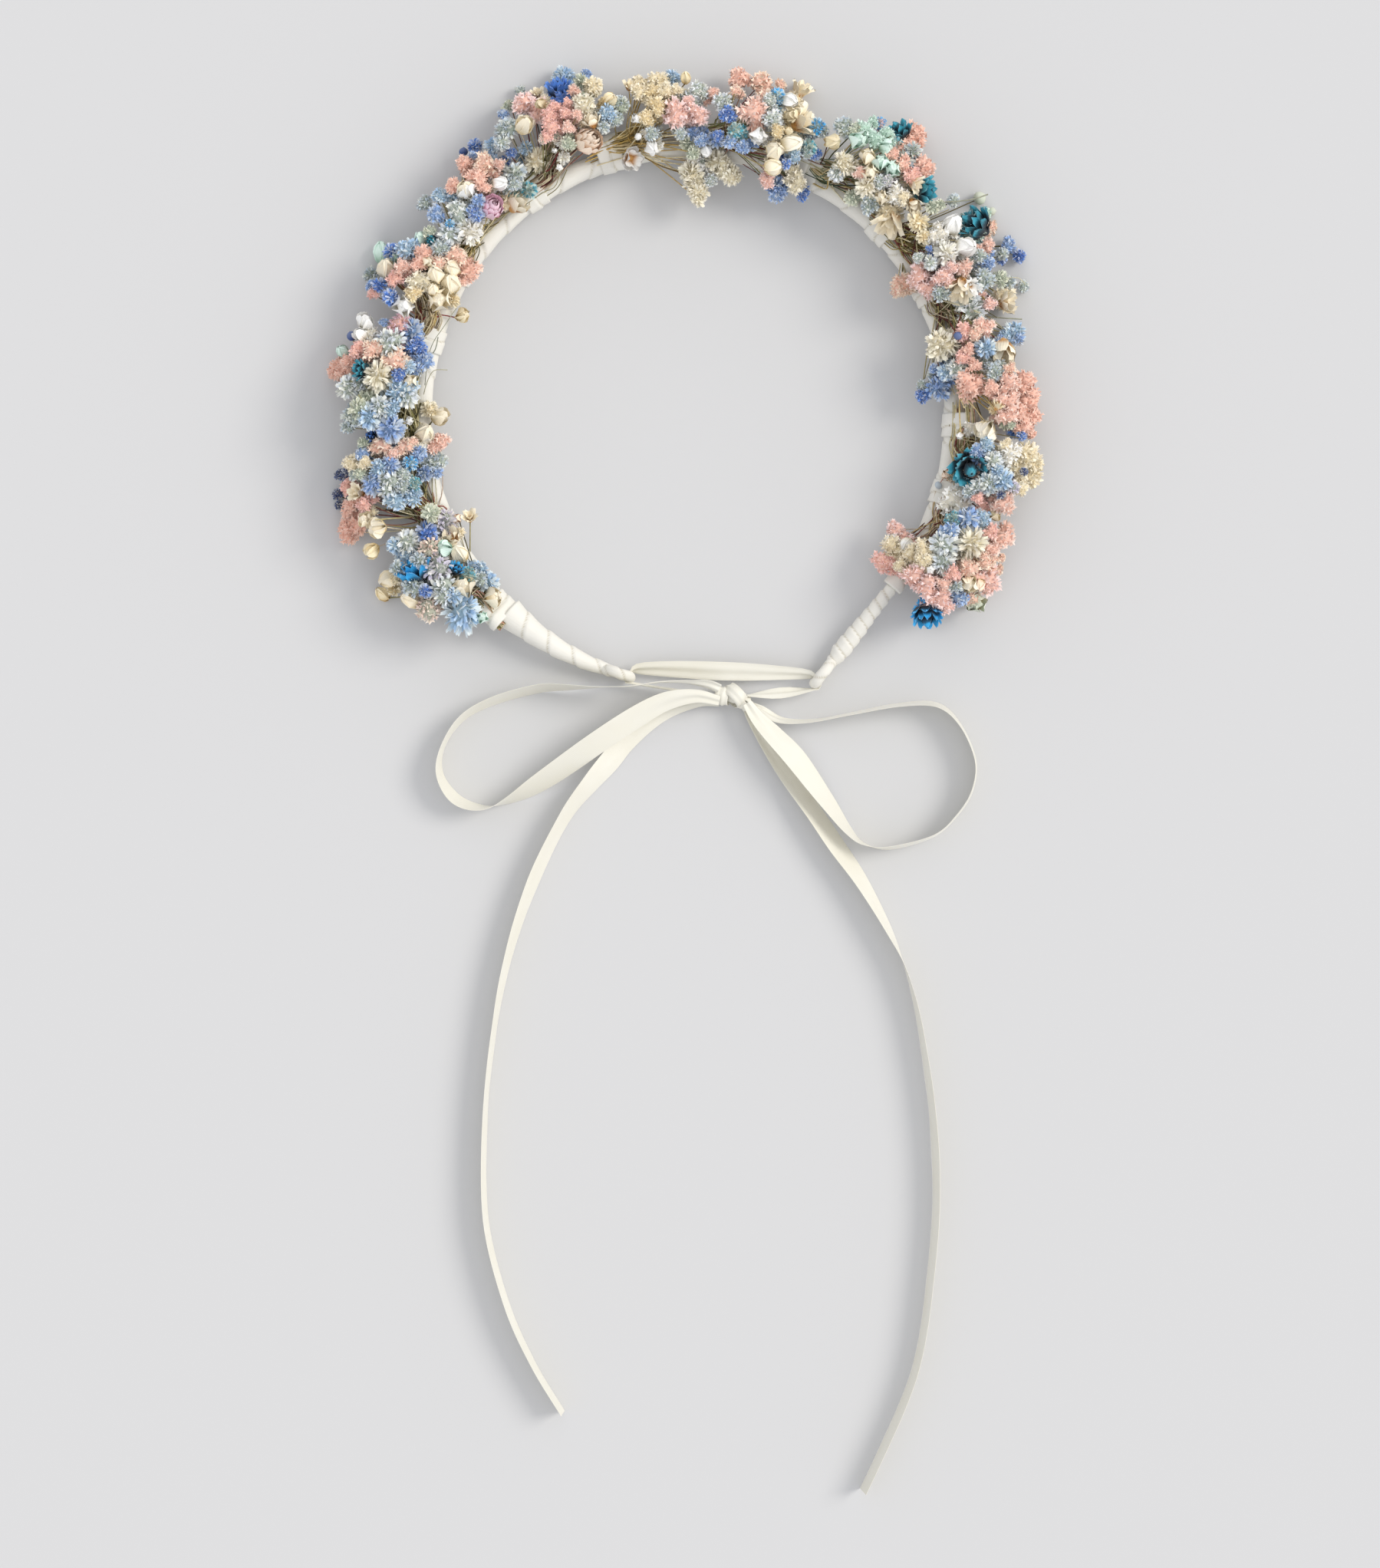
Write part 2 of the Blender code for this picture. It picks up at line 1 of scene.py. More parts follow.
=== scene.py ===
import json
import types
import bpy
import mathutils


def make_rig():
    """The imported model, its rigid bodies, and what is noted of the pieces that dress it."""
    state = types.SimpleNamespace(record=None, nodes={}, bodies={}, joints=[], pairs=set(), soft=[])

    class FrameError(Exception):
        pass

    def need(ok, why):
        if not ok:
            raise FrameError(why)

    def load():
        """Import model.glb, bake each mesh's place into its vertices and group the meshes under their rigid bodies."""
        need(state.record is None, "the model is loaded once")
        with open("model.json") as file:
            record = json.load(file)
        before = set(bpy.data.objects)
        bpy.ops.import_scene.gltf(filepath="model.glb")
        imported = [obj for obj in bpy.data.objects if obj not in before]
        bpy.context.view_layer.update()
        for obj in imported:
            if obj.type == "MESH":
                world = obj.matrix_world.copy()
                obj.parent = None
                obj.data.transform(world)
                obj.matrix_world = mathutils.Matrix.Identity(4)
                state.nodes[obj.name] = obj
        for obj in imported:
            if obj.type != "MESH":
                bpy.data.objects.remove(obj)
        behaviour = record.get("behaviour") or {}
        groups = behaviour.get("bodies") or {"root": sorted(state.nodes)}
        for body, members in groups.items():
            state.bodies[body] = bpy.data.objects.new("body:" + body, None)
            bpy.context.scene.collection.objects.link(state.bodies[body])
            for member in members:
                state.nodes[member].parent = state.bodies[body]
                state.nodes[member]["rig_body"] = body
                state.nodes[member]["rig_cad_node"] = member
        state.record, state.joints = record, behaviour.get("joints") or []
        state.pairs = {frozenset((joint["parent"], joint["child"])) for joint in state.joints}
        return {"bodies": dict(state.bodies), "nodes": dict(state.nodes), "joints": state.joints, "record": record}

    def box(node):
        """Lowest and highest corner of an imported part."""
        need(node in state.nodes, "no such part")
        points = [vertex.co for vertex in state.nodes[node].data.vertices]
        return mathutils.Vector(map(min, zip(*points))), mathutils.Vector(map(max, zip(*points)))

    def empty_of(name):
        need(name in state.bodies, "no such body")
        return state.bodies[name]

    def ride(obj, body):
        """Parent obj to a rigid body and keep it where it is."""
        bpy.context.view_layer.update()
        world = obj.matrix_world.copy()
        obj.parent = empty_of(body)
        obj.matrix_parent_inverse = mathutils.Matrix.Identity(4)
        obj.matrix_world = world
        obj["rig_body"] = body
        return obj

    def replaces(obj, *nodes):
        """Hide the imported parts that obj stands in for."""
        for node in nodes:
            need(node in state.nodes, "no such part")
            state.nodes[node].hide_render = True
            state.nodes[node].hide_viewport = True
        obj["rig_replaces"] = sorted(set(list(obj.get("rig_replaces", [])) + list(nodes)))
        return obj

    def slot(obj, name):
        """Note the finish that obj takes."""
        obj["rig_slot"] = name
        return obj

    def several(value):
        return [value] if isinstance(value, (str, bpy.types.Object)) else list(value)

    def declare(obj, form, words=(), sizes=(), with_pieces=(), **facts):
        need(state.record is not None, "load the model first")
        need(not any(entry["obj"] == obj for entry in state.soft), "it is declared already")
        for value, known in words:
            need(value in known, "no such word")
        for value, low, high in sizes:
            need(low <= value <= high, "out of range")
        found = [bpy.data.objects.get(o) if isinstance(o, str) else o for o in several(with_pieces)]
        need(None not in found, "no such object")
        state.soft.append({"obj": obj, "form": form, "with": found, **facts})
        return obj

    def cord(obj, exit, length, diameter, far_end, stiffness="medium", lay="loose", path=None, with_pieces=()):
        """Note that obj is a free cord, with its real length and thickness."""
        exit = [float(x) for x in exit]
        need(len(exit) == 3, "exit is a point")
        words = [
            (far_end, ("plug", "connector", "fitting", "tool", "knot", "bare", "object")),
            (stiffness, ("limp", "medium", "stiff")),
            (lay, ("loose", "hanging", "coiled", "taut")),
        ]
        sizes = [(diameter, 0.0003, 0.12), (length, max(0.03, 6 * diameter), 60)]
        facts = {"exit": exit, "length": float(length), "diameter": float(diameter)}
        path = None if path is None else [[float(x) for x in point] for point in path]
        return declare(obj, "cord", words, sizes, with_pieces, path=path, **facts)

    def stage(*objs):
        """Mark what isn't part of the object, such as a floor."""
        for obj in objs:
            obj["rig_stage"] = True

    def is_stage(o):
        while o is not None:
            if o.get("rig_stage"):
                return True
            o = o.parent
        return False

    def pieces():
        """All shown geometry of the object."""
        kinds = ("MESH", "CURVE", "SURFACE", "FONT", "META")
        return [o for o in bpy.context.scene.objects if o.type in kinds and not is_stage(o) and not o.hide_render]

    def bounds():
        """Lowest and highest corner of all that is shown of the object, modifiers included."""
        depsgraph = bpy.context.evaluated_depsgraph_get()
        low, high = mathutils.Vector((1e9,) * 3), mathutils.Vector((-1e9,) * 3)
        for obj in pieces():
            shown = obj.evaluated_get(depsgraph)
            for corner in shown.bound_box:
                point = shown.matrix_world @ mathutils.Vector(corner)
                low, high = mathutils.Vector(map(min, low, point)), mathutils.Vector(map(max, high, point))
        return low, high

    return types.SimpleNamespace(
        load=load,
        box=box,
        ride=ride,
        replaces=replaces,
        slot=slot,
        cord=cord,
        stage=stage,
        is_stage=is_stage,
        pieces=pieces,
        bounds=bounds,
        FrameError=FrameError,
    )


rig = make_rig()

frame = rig.load()

import json
import math
import random

import bmesh
import bpy
from mathutils import Euler, Vector, noise

scene = bpy.context.scene
cadLow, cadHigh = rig.bounds()
mm = 0.001
print("frame loaded")


def linearColour(hexCode):
    shares = [int(hexCode[i : i + 2], 16) / 255 for i in (0, 2, 4)]
    curve = [v / 12.92 if v <= 0.04045 else ((v + 0.055) / 1.055) ** 2.4 for v in shares]
    return (*curve, 1.0)


def addNode(tree, kind, inputs=None, **settings):
    # An input takes a plain value, another node's output, or a node for its first output
    node = tree.nodes.new(kind)
    for key, value in settings.items():
        setattr(node, key, value)
    for name, value in (inputs or {}).items():
        if isinstance(value, bpy.types.Node):
            value = value.outputs[0]
        if isinstance(value, bpy.types.NodeSocket):
            tree.links.new(value, node.inputs[name])
        else:
            node.inputs[name].default_value = value
    return node


def newMaterial(name):
    made = bpy.data.materials.new(name)
    made.use_nodes = True
    return made, made.node_tree, made.node_tree.nodes["Principled BSDF"]


def placeMesh(name, mesh):
    made = bpy.data.objects.new(name, mesh)
    scene.collection.objects.link(made)
    return made


def meshFrom(name, bm):
    bmesh.ops.recalc_face_normals(bm, faces=bm.faces)
    mesh = bpy.data.meshes.new(name)
    bm.to_mesh(mesh)
    bm.free()
    mesh.shade_smooth()
    return mesh


def bridgeRows(bm, rows, closed=False):
    # Quads from each row of points to the next
    for first, second in zip(rows, rows[1:]):
        for k in range(len(first) if closed else len(first) - 1):
            j = (k + 1) % len(first)
            bm.faces.new((first[k], first[j], second[j], second[k]))


def addLayers(bm, *names):
    # One number for each point, under each name
    return [bm.verts.layers.float.new(name) for name in names]


def newTree(name, sockets):
    # A node tree from geometry to geometry, with these named inputs
    tree = bpy.data.node_groups.new(name, "GeometryNodeTree")
    tree.interface.new_socket("Geometry", in_out="INPUT", socket_type="NodeSocketGeometry")
    for label, kind in sockets:
        tree.interface.new_socket(label, in_out="INPUT", socket_type="NodeSocket" + kind)
    tree.interface.new_socket("Geometry", in_out="OUTPUT", socket_type="NodeSocketGeometry")
    return tree, tree.nodes.new("NodeGroupInput").outputs


def closeTree(tree, geometry, material):
    realized = addNode(tree, "GeometryNodeRealizeInstances", {0: geometry})
    dressed = addNode(tree, "GeometryNodeSetMaterial", {0: realized, 2: material})
    leave = tree.nodes.new("NodeGroupOutput")
    tree.links.new(dressed.outputs[0], leave.inputs[0])


def runTree(made, tree, values):
    # Runs the tree once and keeps the result as the object's plain mesh
    live = made.modifiers.new(tree.name, "NODES")
    live.node_group = tree
    for item in tree.interface.items_tree:
        if item.in_out == "INPUT" and item.name in values:
            live[item.identifier] = values[item.name]
    graph = bpy.context.evaluated_depsgraph_get()
    result = bpy.data.meshes.new_from_object(
        made.evaluated_get(graph), preserve_all_data_layers=True, depsgraph=graph
    )
    made.modifiers.clear()
    made.data = result
    return made


def smoothStep(value):
    value = min(max(value, 0.0), 1.0)
    return value * value * (3 - 2 * value)


def spline(rows, steps):
    # Catmull-Rom through rows of numbers
    ends = [rows[0], *rows, rows[-1]]
    found = []
    for i in range(len(rows) - 1):
        p0, p1, p2, p3 = ends[i : i + 4]
        for k in range(steps):
            t = k / steps
            row = []
            for a, b, c, d in zip(p0, p1, p2, p3):
                arch = t * (2 * a - 5 * b + 4 * c - d + t * (3 * (b - c) + d - a))
                row.append(b + 0.5 * t * (c - a + arch))
            found.append(tuple(row))
    found.append(rows[-1])
    return found


# The camera looks straight down on the crown, which lies on a pale grey sweep
studio = {
    "lens": 100.0,
    "viewHeight": 546.5 * mm,  # what the frame takes in, at the flowers' height
    "centre": (0.67 * mm, -128.6 * mm),
    "flowerHeight": 10.0 * mm,
    "floorColour": "CDCDCD",
    "lightColour": "FFFBF4",
    "ambientColour": "F6F7FB",
    "lightFrom": (19.0, 40.0),  # degrees round from +X, and up
    "lightSpread": 26.0,
    "lightStrength": 1.57,
    "ambientStrength": 0.98,
}


def buildStudio(s):
    camera = bpy.data.objects.new("camera", bpy.data.cameras.new("camera"))
    scene.collection.objects.link(camera)
    camera.data.sensor_width = 36.0
    camera.data.lens = s["lens"]
    distance = s["viewHeight"] * s["lens"] / camera.data.sensor_width
    camera.location = (*s["centre"], s["flowerHeight"] + distance)
    camera.data.clip_start, camera.data.clip_end = 0.01, 20.0
    scene.camera = camera

    lamp = bpy.data.lights.new("softLight", "SUN")
    lamp.angle = math.radians(s["lightSpread"])
    lamp.energy = s["lightStrength"]
    lamp.color = linearColour(s["lightColour"])[:3]
    light = bpy.data.objects.new("softLight", lamp)
    scene.collection.objects.link(light)
    around, up = (math.radians(a) for a in s["lightFrom"])
    level = math.cos(up)
    towards = Vector((math.cos(around) * level, math.sin(around) * level, math.sin(up)))
    light.rotation_euler = towards.to_track_quat("Z", "Y").to_euler()

    walls = bpy.data.worlds.new("studioWalls")
    walls.use_nodes = True
    glow = walls.node_tree.nodes["Background"]
    glow.inputs["Color"].default_value = linearColour(s["ambientColour"])
    glow.inputs["Strength"].default_value = s["ambientStrength"]
    scene.world = walls
    scene.view_settings.view_transform = "Standard"

    bm = bmesh.new()
    bmesh.ops.create_grid(bm, x_segments=8, y_segments=8, size=2.5)
    floor = placeMesh("floor", meshFrom("floor", bm))
    paper, tree, shader = newMaterial("matt backdrop paper, rolled")  # even grey with no shine
    shader.inputs["Base Color"].default_value = linearColour(s["floorColour"])
    shader.inputs["Roughness"].default_value = 0.95
    shader.inputs["Specular IOR Level"].default_value = 0.1
    floor.data.materials.append(paper)
    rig.stage(floor)


buildStudio(studio)
print("studio ready")


# One satin ribbon, tied through both eyes
knotLow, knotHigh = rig.box("bow_knot")
knot = (knotLow + knotHigh) / 2
bow = {
    "width": 10.0,  # all in millimetres
    "thickness": 0.34,
    "solidThickness": 0.5,  # of the flat strips in the frame, which set where it rests
    "tableGap": 0.1,
    "leftEye": (-35.949, 6.497),  # middle of each eye's far rod, from the knot
    "rightEye": (28.549, 4.303),
    "knotReach": 4.8,
    "pleat": 0.06,  # how far a gathered strip folds, for each millimetre that it is drawn in
    "stepsPerPoint": 8,
    "columns": 14,
    "tieRadius": 2.0,  # the strand's bend round an eye's far rod
    "tieHeight": 4.8,
    "tieNarrow": 3.4,  # width at the knot
    "tieInEye": 3.43,  # width in the eyes
    "tieSag": 1.2,
    "tieWidth": 6.0,  # the same ribbon, gathered to this
}


def woundSatin():
    # Woven polyester satin: soft sheen, fine ribs along the ribbon and a warm ivory
    made, tree, shader = newMaterial("ivory double-face satin, woven")
    run = addNode(tree, "ShaderNodeUVMap", uv_map="OFBake").outputs["UV"]
    # Warp ribs 0.35 mm apart on a 10 mm ribbon, coarse enough to show
    ribs = addNode(tree, "ShaderNodeMapping", {"Vector": run, "Scale": (28.0, 6.0, 1.0)})
    weave = addNode(
        tree,
        "ShaderNodeTexWave",
        {"Vector": ribs, "Scale": 0.32, "Distortion": 0.6, "Detail": 1.0},
        bands_direction="X",
    )
    place = addNode(tree, "ShaderNodeTexCoord").outputs["Object"]
    cloud = addNode(tree, "ShaderNodeTexNoise", {"Vector": place, "Scale": 90.0, "Detail": 3.0})
    tone = addNode(
        tree,
        "ShaderNodeMix",
        {0: cloud.outputs["Fac"], 6: linearColour("E8E6DC"), 7: linearColour("E2DECE")},
        data_type="RGBA",
    )
    tree.links.new(tone.outputs[2], shader.inputs["Base Color"])
    bump = addNode(
        tree,
        "ShaderNodeBump",
        {"Height": weave.outputs["Fac"], "Strength": 0.25, "Distance": 0.05 * mm},
    )
    tree.links.new(bump.outputs[0], shader.inputs["Normal"])
    shader.inputs["Roughness"].default_value = 0.5
    shader.inputs["Sheen Weight"].default_value = 0.25
    shader.inputs["Sheen Roughness"].default_value = 0.4
    return made


satin = woundSatin()


def onTable(x, y, roll, width=10.0):
    # A route point where the strip's lower edge rests on the table
    turn = math.radians(roll)
    half = (width * abs(math.sin(turn)) + bow["solidThickness"] * abs(math.cos(turn))) / 2
    return (x, y, half + bow["tableGap"], roll, width)


leftX, leftY = bow["leftEye"]
reach = bow["knotReach"]
# Points in mm from the knot: (x, y, height over the table, roll in degrees, width)
routes = {
    "leftLoop": [
        (-reach, 2.4, 8.4, -20, 3.4),
        (-9.0, 4.0, 9.4, -50, 4.6),
        (-16.4, 4.7, 10.6, -78, 5.6),
        (-26.0, 4.6, 11.6, -88, 7.0),
        (leftX + 0.5, leftY - 3.3, 12.2, -90, 8.4),
        (leftX - 9.5, leftY - 3.5, 10.6, -90, 10.0),
        (-57.7, 2.9, 7.4, -80, 10.0),
        onTable(-68.3, 2.4, -74),
        onTable(-83.3, -1.6, -74),
        onTable(-94.6, -7.7, -80),
        onTable(-101.4, -17.6, -84),
        onTable(-102.6, -27.4, -78),
        onTable(-97.2, -36.0, -69),
        onTable(-88.2, -39.1, -79),
        onTable(-78.8, -36.7, -103),
        (-66.4, -29.6, 6.6, -132, 10.0),
        (-47.0, -16.1, 10.6, -140, 10.0),
        (-33.0, -7.0, 10.4, -142, 9.4),
        (-23.0, -1.9, 9.6, -146, 7.6),
        (-13.0, -0.2, 8.8, -158, 4.8),
        (-reach, -1.8, 8.4, -180, 3.2),
    ],
    "leftTail": [
        (-reach, -2.0, 1.5, 0, 3.4),
        (-12.0, -1.6, 1.4, -4, 4.6),
        onTable(-22.0, -4.4, -10, 6.0),
        onTable(-30.0, -9.0, -18, 7.2),
        onTable(-38.2, -16.6, -24, 7.8),
        onTable(-43.2, -22.8, -34, 8.8),
        onTable(-50.0, -30.8, -54),
        onTable(-59.2, -43.0, -66),
        onTable(-70.0, -65.1, -67),
        onTable(-78.8, -91.7, -76),
        onTable(-84.0, -119.7, -82),
        onTable(-86.8, -149.1, -82),
        onTable(-86.5, -183.2, -82),
        onTable(-79.5, -211.9, -82),
        onTable(-70.4, -232.8, -83),
        onTable(-59.6, -251.0, -84),
    ],
    "rightLoop": [
        (reach, -2.6, 8.4, 0, 3.2),
        (8.6, -8.0, 8.2, -24, 5.6),
        (14.3, -14.0, 8.4, -38, 8.6),
        (22.2, -22.6, 8.6, -41, 10.0),
        (33.0, -37.2, 7.4, -56, 10.0),
        (40.2, -46.8, 6.0, -72, 10.0),
        onTable(45.9, -51.8, -86),
        onTable(54.9, -53.3, -97),
        onTable(70.1, -49.1, -96),
        onTable(78.3, -41.9, -96),
        onTable(83.6, -33.3, -96),
        onTable(84.8, -22.6, -96),
        onTable(79.6, -10.4, -98),
        onTable(71.3, -3.2, -101),
        onTable(57.8, -3.2, -99),
        onTable(41.4, -6.3, -95),
        onTable(28.0, -8.7, -98, 7.6),
        (16.9, -8.5, 4.0, -112, 5.4),
        (9.4, -4.9, 4.6, -150, 3.4),
        (reach, -3.2, 4.8, -176, 2.6),
    ],
    "rightTail": [
        (reach, -3.6, 1.5, 0, 3.4),
        (8.2, -10.4, 1.4, -14, 4.6),
        onTable(17.7, -25.6, -36, 7.6),
        onTable(27.4, -39.5, -50, 9.4),
        onTable(35.8, -51.8, -53),
        onTable(45.0, -65.1, -61),
        onTable(54.8, -82.6, -76),
        onTable(60.7, -96.6, -91),
        onTable(65.3, -115.5, -98),
        onTable(69.6, -145.0, -102),
        onTable(71.1, -174.3, -102),
        onTable(69.1, -202.7, -102),
        onTable(65.3, -229.3, -101),
        onTable(59.0, -248.9, -101),
        onTable(45.4, -278.3, -101),
    ],
}


def turnRound(far, headingIn, headingOut, radius, count=6):
    # Clockwise about an eye's far rod, from one heading to another
    start = math.atan2(headingIn[0], -headingIn[1])
    end = math.atan2(headingOut[0], -headingOut[1])
    while end > start:
        end -= 2 * math.pi
    angles = (start + (end - start) * i / count for i in range(count + 1))
    return [(far[0] + radius * math.cos(a), far[1] + radius * math.sin(a)) for a in angles]


def tieRoute():
    # From the knot through the left eye, across, through the right eye and back
    left, right = bow["leftEye"], bow["rightEye"]
    radius, height, sag = bow["tieRadius"], bow["tieHeight"], bow["tieSag"]
    narrow, inEye = bow["tieNarrow"], bow["tieInEye"]
    toLeft = (left[0] + reach, left[1])
    across = (right[0] - left[0], right[1] - left[1])
    toKnot = (reach - right[0], -right[1])
    route = [(-reach, 0.0, height, 90.0, narrow)]
    route.append(((left[0] - reach) / 2, left[1] / 2 - sag, height, 90.0, narrow))
    for x, y in turnRound(left, toLeft, across, radius):
        route.append((x, y, height, 90.0, inEye))
    for share, roll, width in ((0.08, 38.0, 5.2), (0.5, 14.0, 6.6), (0.93, 45.0, 4.8)):
        x, y = left[0] + across[0] * share, left[1] + across[1] * share
        route.append((x, y + radius + sag, height, roll, width))
    for x, y in turnRound(right, across, toKnot, radius):
        route.append((x, y, height, 90.0, inEye))
    route.append(((right[0] + reach) / 2, right[1] / 2 - sag, height, 35.0, 4.4))
    route.append((reach, 0.0, height, 90.0, narrow))
    return route


def skinRings(bm, uvLayer, rings, uvOf):
    # Closed rings joined by quads, each corner with its place on the ribbon
    count = len(rings[0])
    for i in range(len(rings) - 1):
        for k in range(count):
            j = (k + 1) % count
            corners = ((i, k), (i, j), (i + 1, j), (i + 1, k))
            face = bm.faces.new([rings[a][b] for a, b in corners])
            for loop, (a, b) in zip(face.loops, corners):
                loop[uvLayer].uv = uvOf(a, b)


def ribbonStrip(name, route, steps):
    # A thin strip with a soft selvedge, folded lengthwise where it is drawn in
    rows = spline(route, steps)
    places = [Vector((knot.x / mm + r[0], knot.y / mm + r[1], r[2])) for r in rows]
    bm = bmesh.new()
    uvLayer = bm.loops.layers.uv.new("OFBake")
    rings, runs = [], [0.0]
    columns = bow["columns"]
    for i, row in enumerate(rows):
        run = (places[min(i + 1, len(rows) - 1)] - places[max(i - 1, 0)]).normalized()
        side = Vector((-run.y, run.x, 0.0)).normalized()
        rise = run.cross(side).normalized()
        roll, width = math.radians(row[3]), row[4]
        across = side * math.cos(roll) + rise * math.sin(roll)
        through = rise * math.cos(roll) - side * math.sin(roll)
        drawnIn = max(0.0, bow["width"] - width) * bow["pleat"]
        if i:
            runs.append(runs[-1] + (places[i] - places[i - 1]).length)
        drift = 0.5 * noise.noise(Vector((runs[-1] * 0.05, 3.1, 0.0)))
        top, bottom = [], []
        for k in range(columns + 1):
            s = 2 * k / columns - 1
            fold = drawnIn * math.sin(math.pi * (1.6 * s + drift)) * (1 - 0.3 * abs(s))
            ripple = 0.16 * noise.noise(Vector((runs[-1] * 0.06, s * 0.8, 7.0)))
            selvedge = 0.62 + 0.38 * smoothStep((abs(s) - 0.9) * 10)
            half = bow["thickness"] / 2 * (selvedge if abs(s) < 1 else 0.3)
            middle = places[i] + across * (s * width / 2) + through * (fold + ripple * width / 10)
            top.append(bm.verts.new((middle + through * half) * mm))
            bottom.append(bm.verts.new((middle - through * half) * mm))
        rings.append(top + bottom[::-1])
    total = runs[-1]

    def uvOf(i, k):
        level = k if k <= columns else 2 * columns + 1 - k
        face = 0.0 if k <= columns else 0.5
        return (face + 0.48 * level / columns + 0.01, 0.01 + 0.98 * runs[i] / total)

    skinRings(bm, uvLayer, rings, uvOf)
    for i in (0, len(rings) - 1):
        for k, loop in enumerate(bm.faces.new(rings[i]).loops):
            loop[uvLayer].uv = uvOf(i, k)
    made = placeMesh(name, meshFrom(name, bm))
    made.data.set_sharp_from_angle(angle=math.radians(60))
    made.data.materials.append(satin)
    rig.slot(made, "satin_ribbon")
    return made, [tuple(p * mm) for p in places], total * mm


knotShape = {
    "core": (4.8, 2.6, 2.2),  # half sizes in mm
    "coreSlant": 1.2,
    "steps": 30,
    "columns": 8,
    "gather": 0.24,  # mm, depth of the folds across a turn
    "halfThickness": 0.14,
    "flatten": 0.85,
    # Each turn: slew in degrees, lean in mm, start and sweep in degrees,
    # then radius, width and offset in mm
    "turns": (
        (44, 0.8, 210, 390, 4.0, 4.8, (0.6, 0.0)),
        (-14, -0.6, 20, 340, 3.0, 4.8, (-3.5, 0.1)),
        (-46, 0.5, 80, 350, 2.2, 4.4, (3.8, -2.2)),
    ),
}


def knotTurn(bm, uvLayer, slew, lean, start, sweep, radius, width, offset):
    # One turn of the ribbon round the knot's core, gathered, leaning and turned on the table
    steps, columns = knotShape["steps"], knotShape["columns"]
    slew = math.radians(slew)
    rings = []
    for i in range(steps + 1):
        share = i / steps
        angle = math.radians(start + sweep * share)
        grow = radius + 0.35 * math.sin(math.pi * share)
        ring = []
        for side in (1, -1):
            for k in range(columns + 1) if side == 1 else range(columns, -1, -1):
                s = 2 * k / columns - 1
                fold = knotShape["gather"] * math.sin(math.pi * 2.2 * s + 0.6)
                level = grow * (1 - 0.16 * s * s) + fold + side * knotShape["halfThickness"]
                x = s * width / 2 + lean * math.sin(angle)
                y = level * math.cos(angle)
                alongX = offset[0] + x * math.cos(slew) - y * math.sin(slew)
                alongY = offset[1] + x * math.sin(slew) + y * math.cos(slew)
                point = Vector((alongX, alongY, knotShape["flatten"] * level * math.sin(angle)))
                ring.append(bm.verts.new(knot + point * mm))
        rings.append(ring)


    def uvOf(i, k):
        return (0.02 + 0.9 * (k % (columns + 1)) / columns, 0.02 + 0.9 * i / steps)

    skinRings(bm, uvLayer, rings, uvOf)
    bm.faces.new(rings[0])
    bm.faces.new(rings[-1])


def buildKnot():
    bm = bmesh.new()
    uvLayer = bm.loops.layers.uv.new("OFBake")
    for turn in knotShape["turns"]:
        knotTurn(bm, uvLayer, *turn)
    core = bmesh.ops.create_icosphere(bm, subdivisions=3, radius=1.0)
    long, deep, high = knotShape["core"]
    for vertex in core["verts"]:
        x, y, z = vertex.co
        place = Vector((long * x, deep * y - knotShape["coreSlant"] * x, high * z))
        vertex.co = knot + place * mm
    made = placeMesh("bowKnot", meshFrom("bowKnot", bm))
    made.data.materials.append(satin)
    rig.slot(made, "satin_ribbon")
    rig.replaces(made, "bow_knot")
    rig.ride(made, "bow")
    return made


bowKnot = buildKnot()
for name, node in (
    ("leftLoop", "left_loop"),
    ("rightLoop", "right_loop"),
    ("leftTail", "left_tail"),
    ("rightTail", "right_tail"),
):
    strip, places, total = ribbonStrip(name, routes[name], bow["stepsPerPoint"])
    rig.replaces(strip, node)
    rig.ride(strip, "bow")
    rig.cord(
        strip,
        exit=places[0],
        length=total,
        diameter=bow["width"] * mm,
        far_end="bare" if "Tail" in name else "object",
        stiffness="limp",
        lay="loose",
        path=places,
        with_pieces=[bowKnot] if name == "leftLoop" else [],
    )
    print(name, round(total * 1000, 1), "mm")

strip, places, total = ribbonStrip("tieStrand", tieRoute(), 4)
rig.replaces(strip, "tie_strand")
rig.ride(strip, "crown")
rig.cord(
    strip,
    exit=places[0],
    length=total,
    diameter=bow["tieWidth"] * mm,
    far_end="object",
    stiffness="limp",
    lay="loose",
    path=places,
)
print("ribbon tied,", round(total * 1000, 1), "mm between the eyes")


# The band: a wire ring with a straight right arm, wound with tape
band = {
    "ringRadius": 93.0 * mm,
    "leftEnd": 252.0,  # degrees round the ring
    "rightBend": -38.7,  # from here the right arm runs straight
    "rightArm": 36.2 * mm,
    "height": 8.2 * mm,
    "tipHeight": 4.8 * mm,
    "tipFall": 16.0,  # degrees
    "tapeRadius": 3.7 * mm,
    # Stations along each arm: degrees, radius in mm
    "leftWrap": ((227.6, 5.5), (234.0, 4.1), (241.0, 3.3), (250.0, 2.4), (253.2, 2.0)),
    "rightWrap": ((-40.4, 2.1), (-47.0, 2.4), (-52.0, 2.9), (-57.5, 3.2), (-60.9, 2.0)),
    "stemOut": 5.18 * mm,
    "stemUp": 3.76 * mm,
    "stemBundle": 2.1 * mm,
    "stemRun": 15.0,  # degrees from a bunch's heads to the cut ends of its stems
    "stemSpacing": 1.4,
    "bindingAngle": 5.0,
    "eyeHalfLength": 4.5 * mm,
    "eyeHalfHeight": 3.5 * mm,
    "eyeRod": 1.9 * mm,
    "eyeTape": 0.92,  # share of the rod's radius that the tape's turns start from
    "eyeRun": 25.0 * mm,  # once round an eye
}


def outwardAt(angle):
    turn = math.radians(max(angle, band["rightBend"]))
    return Vector((math.cos(turn), math.sin(turn), 0.0))


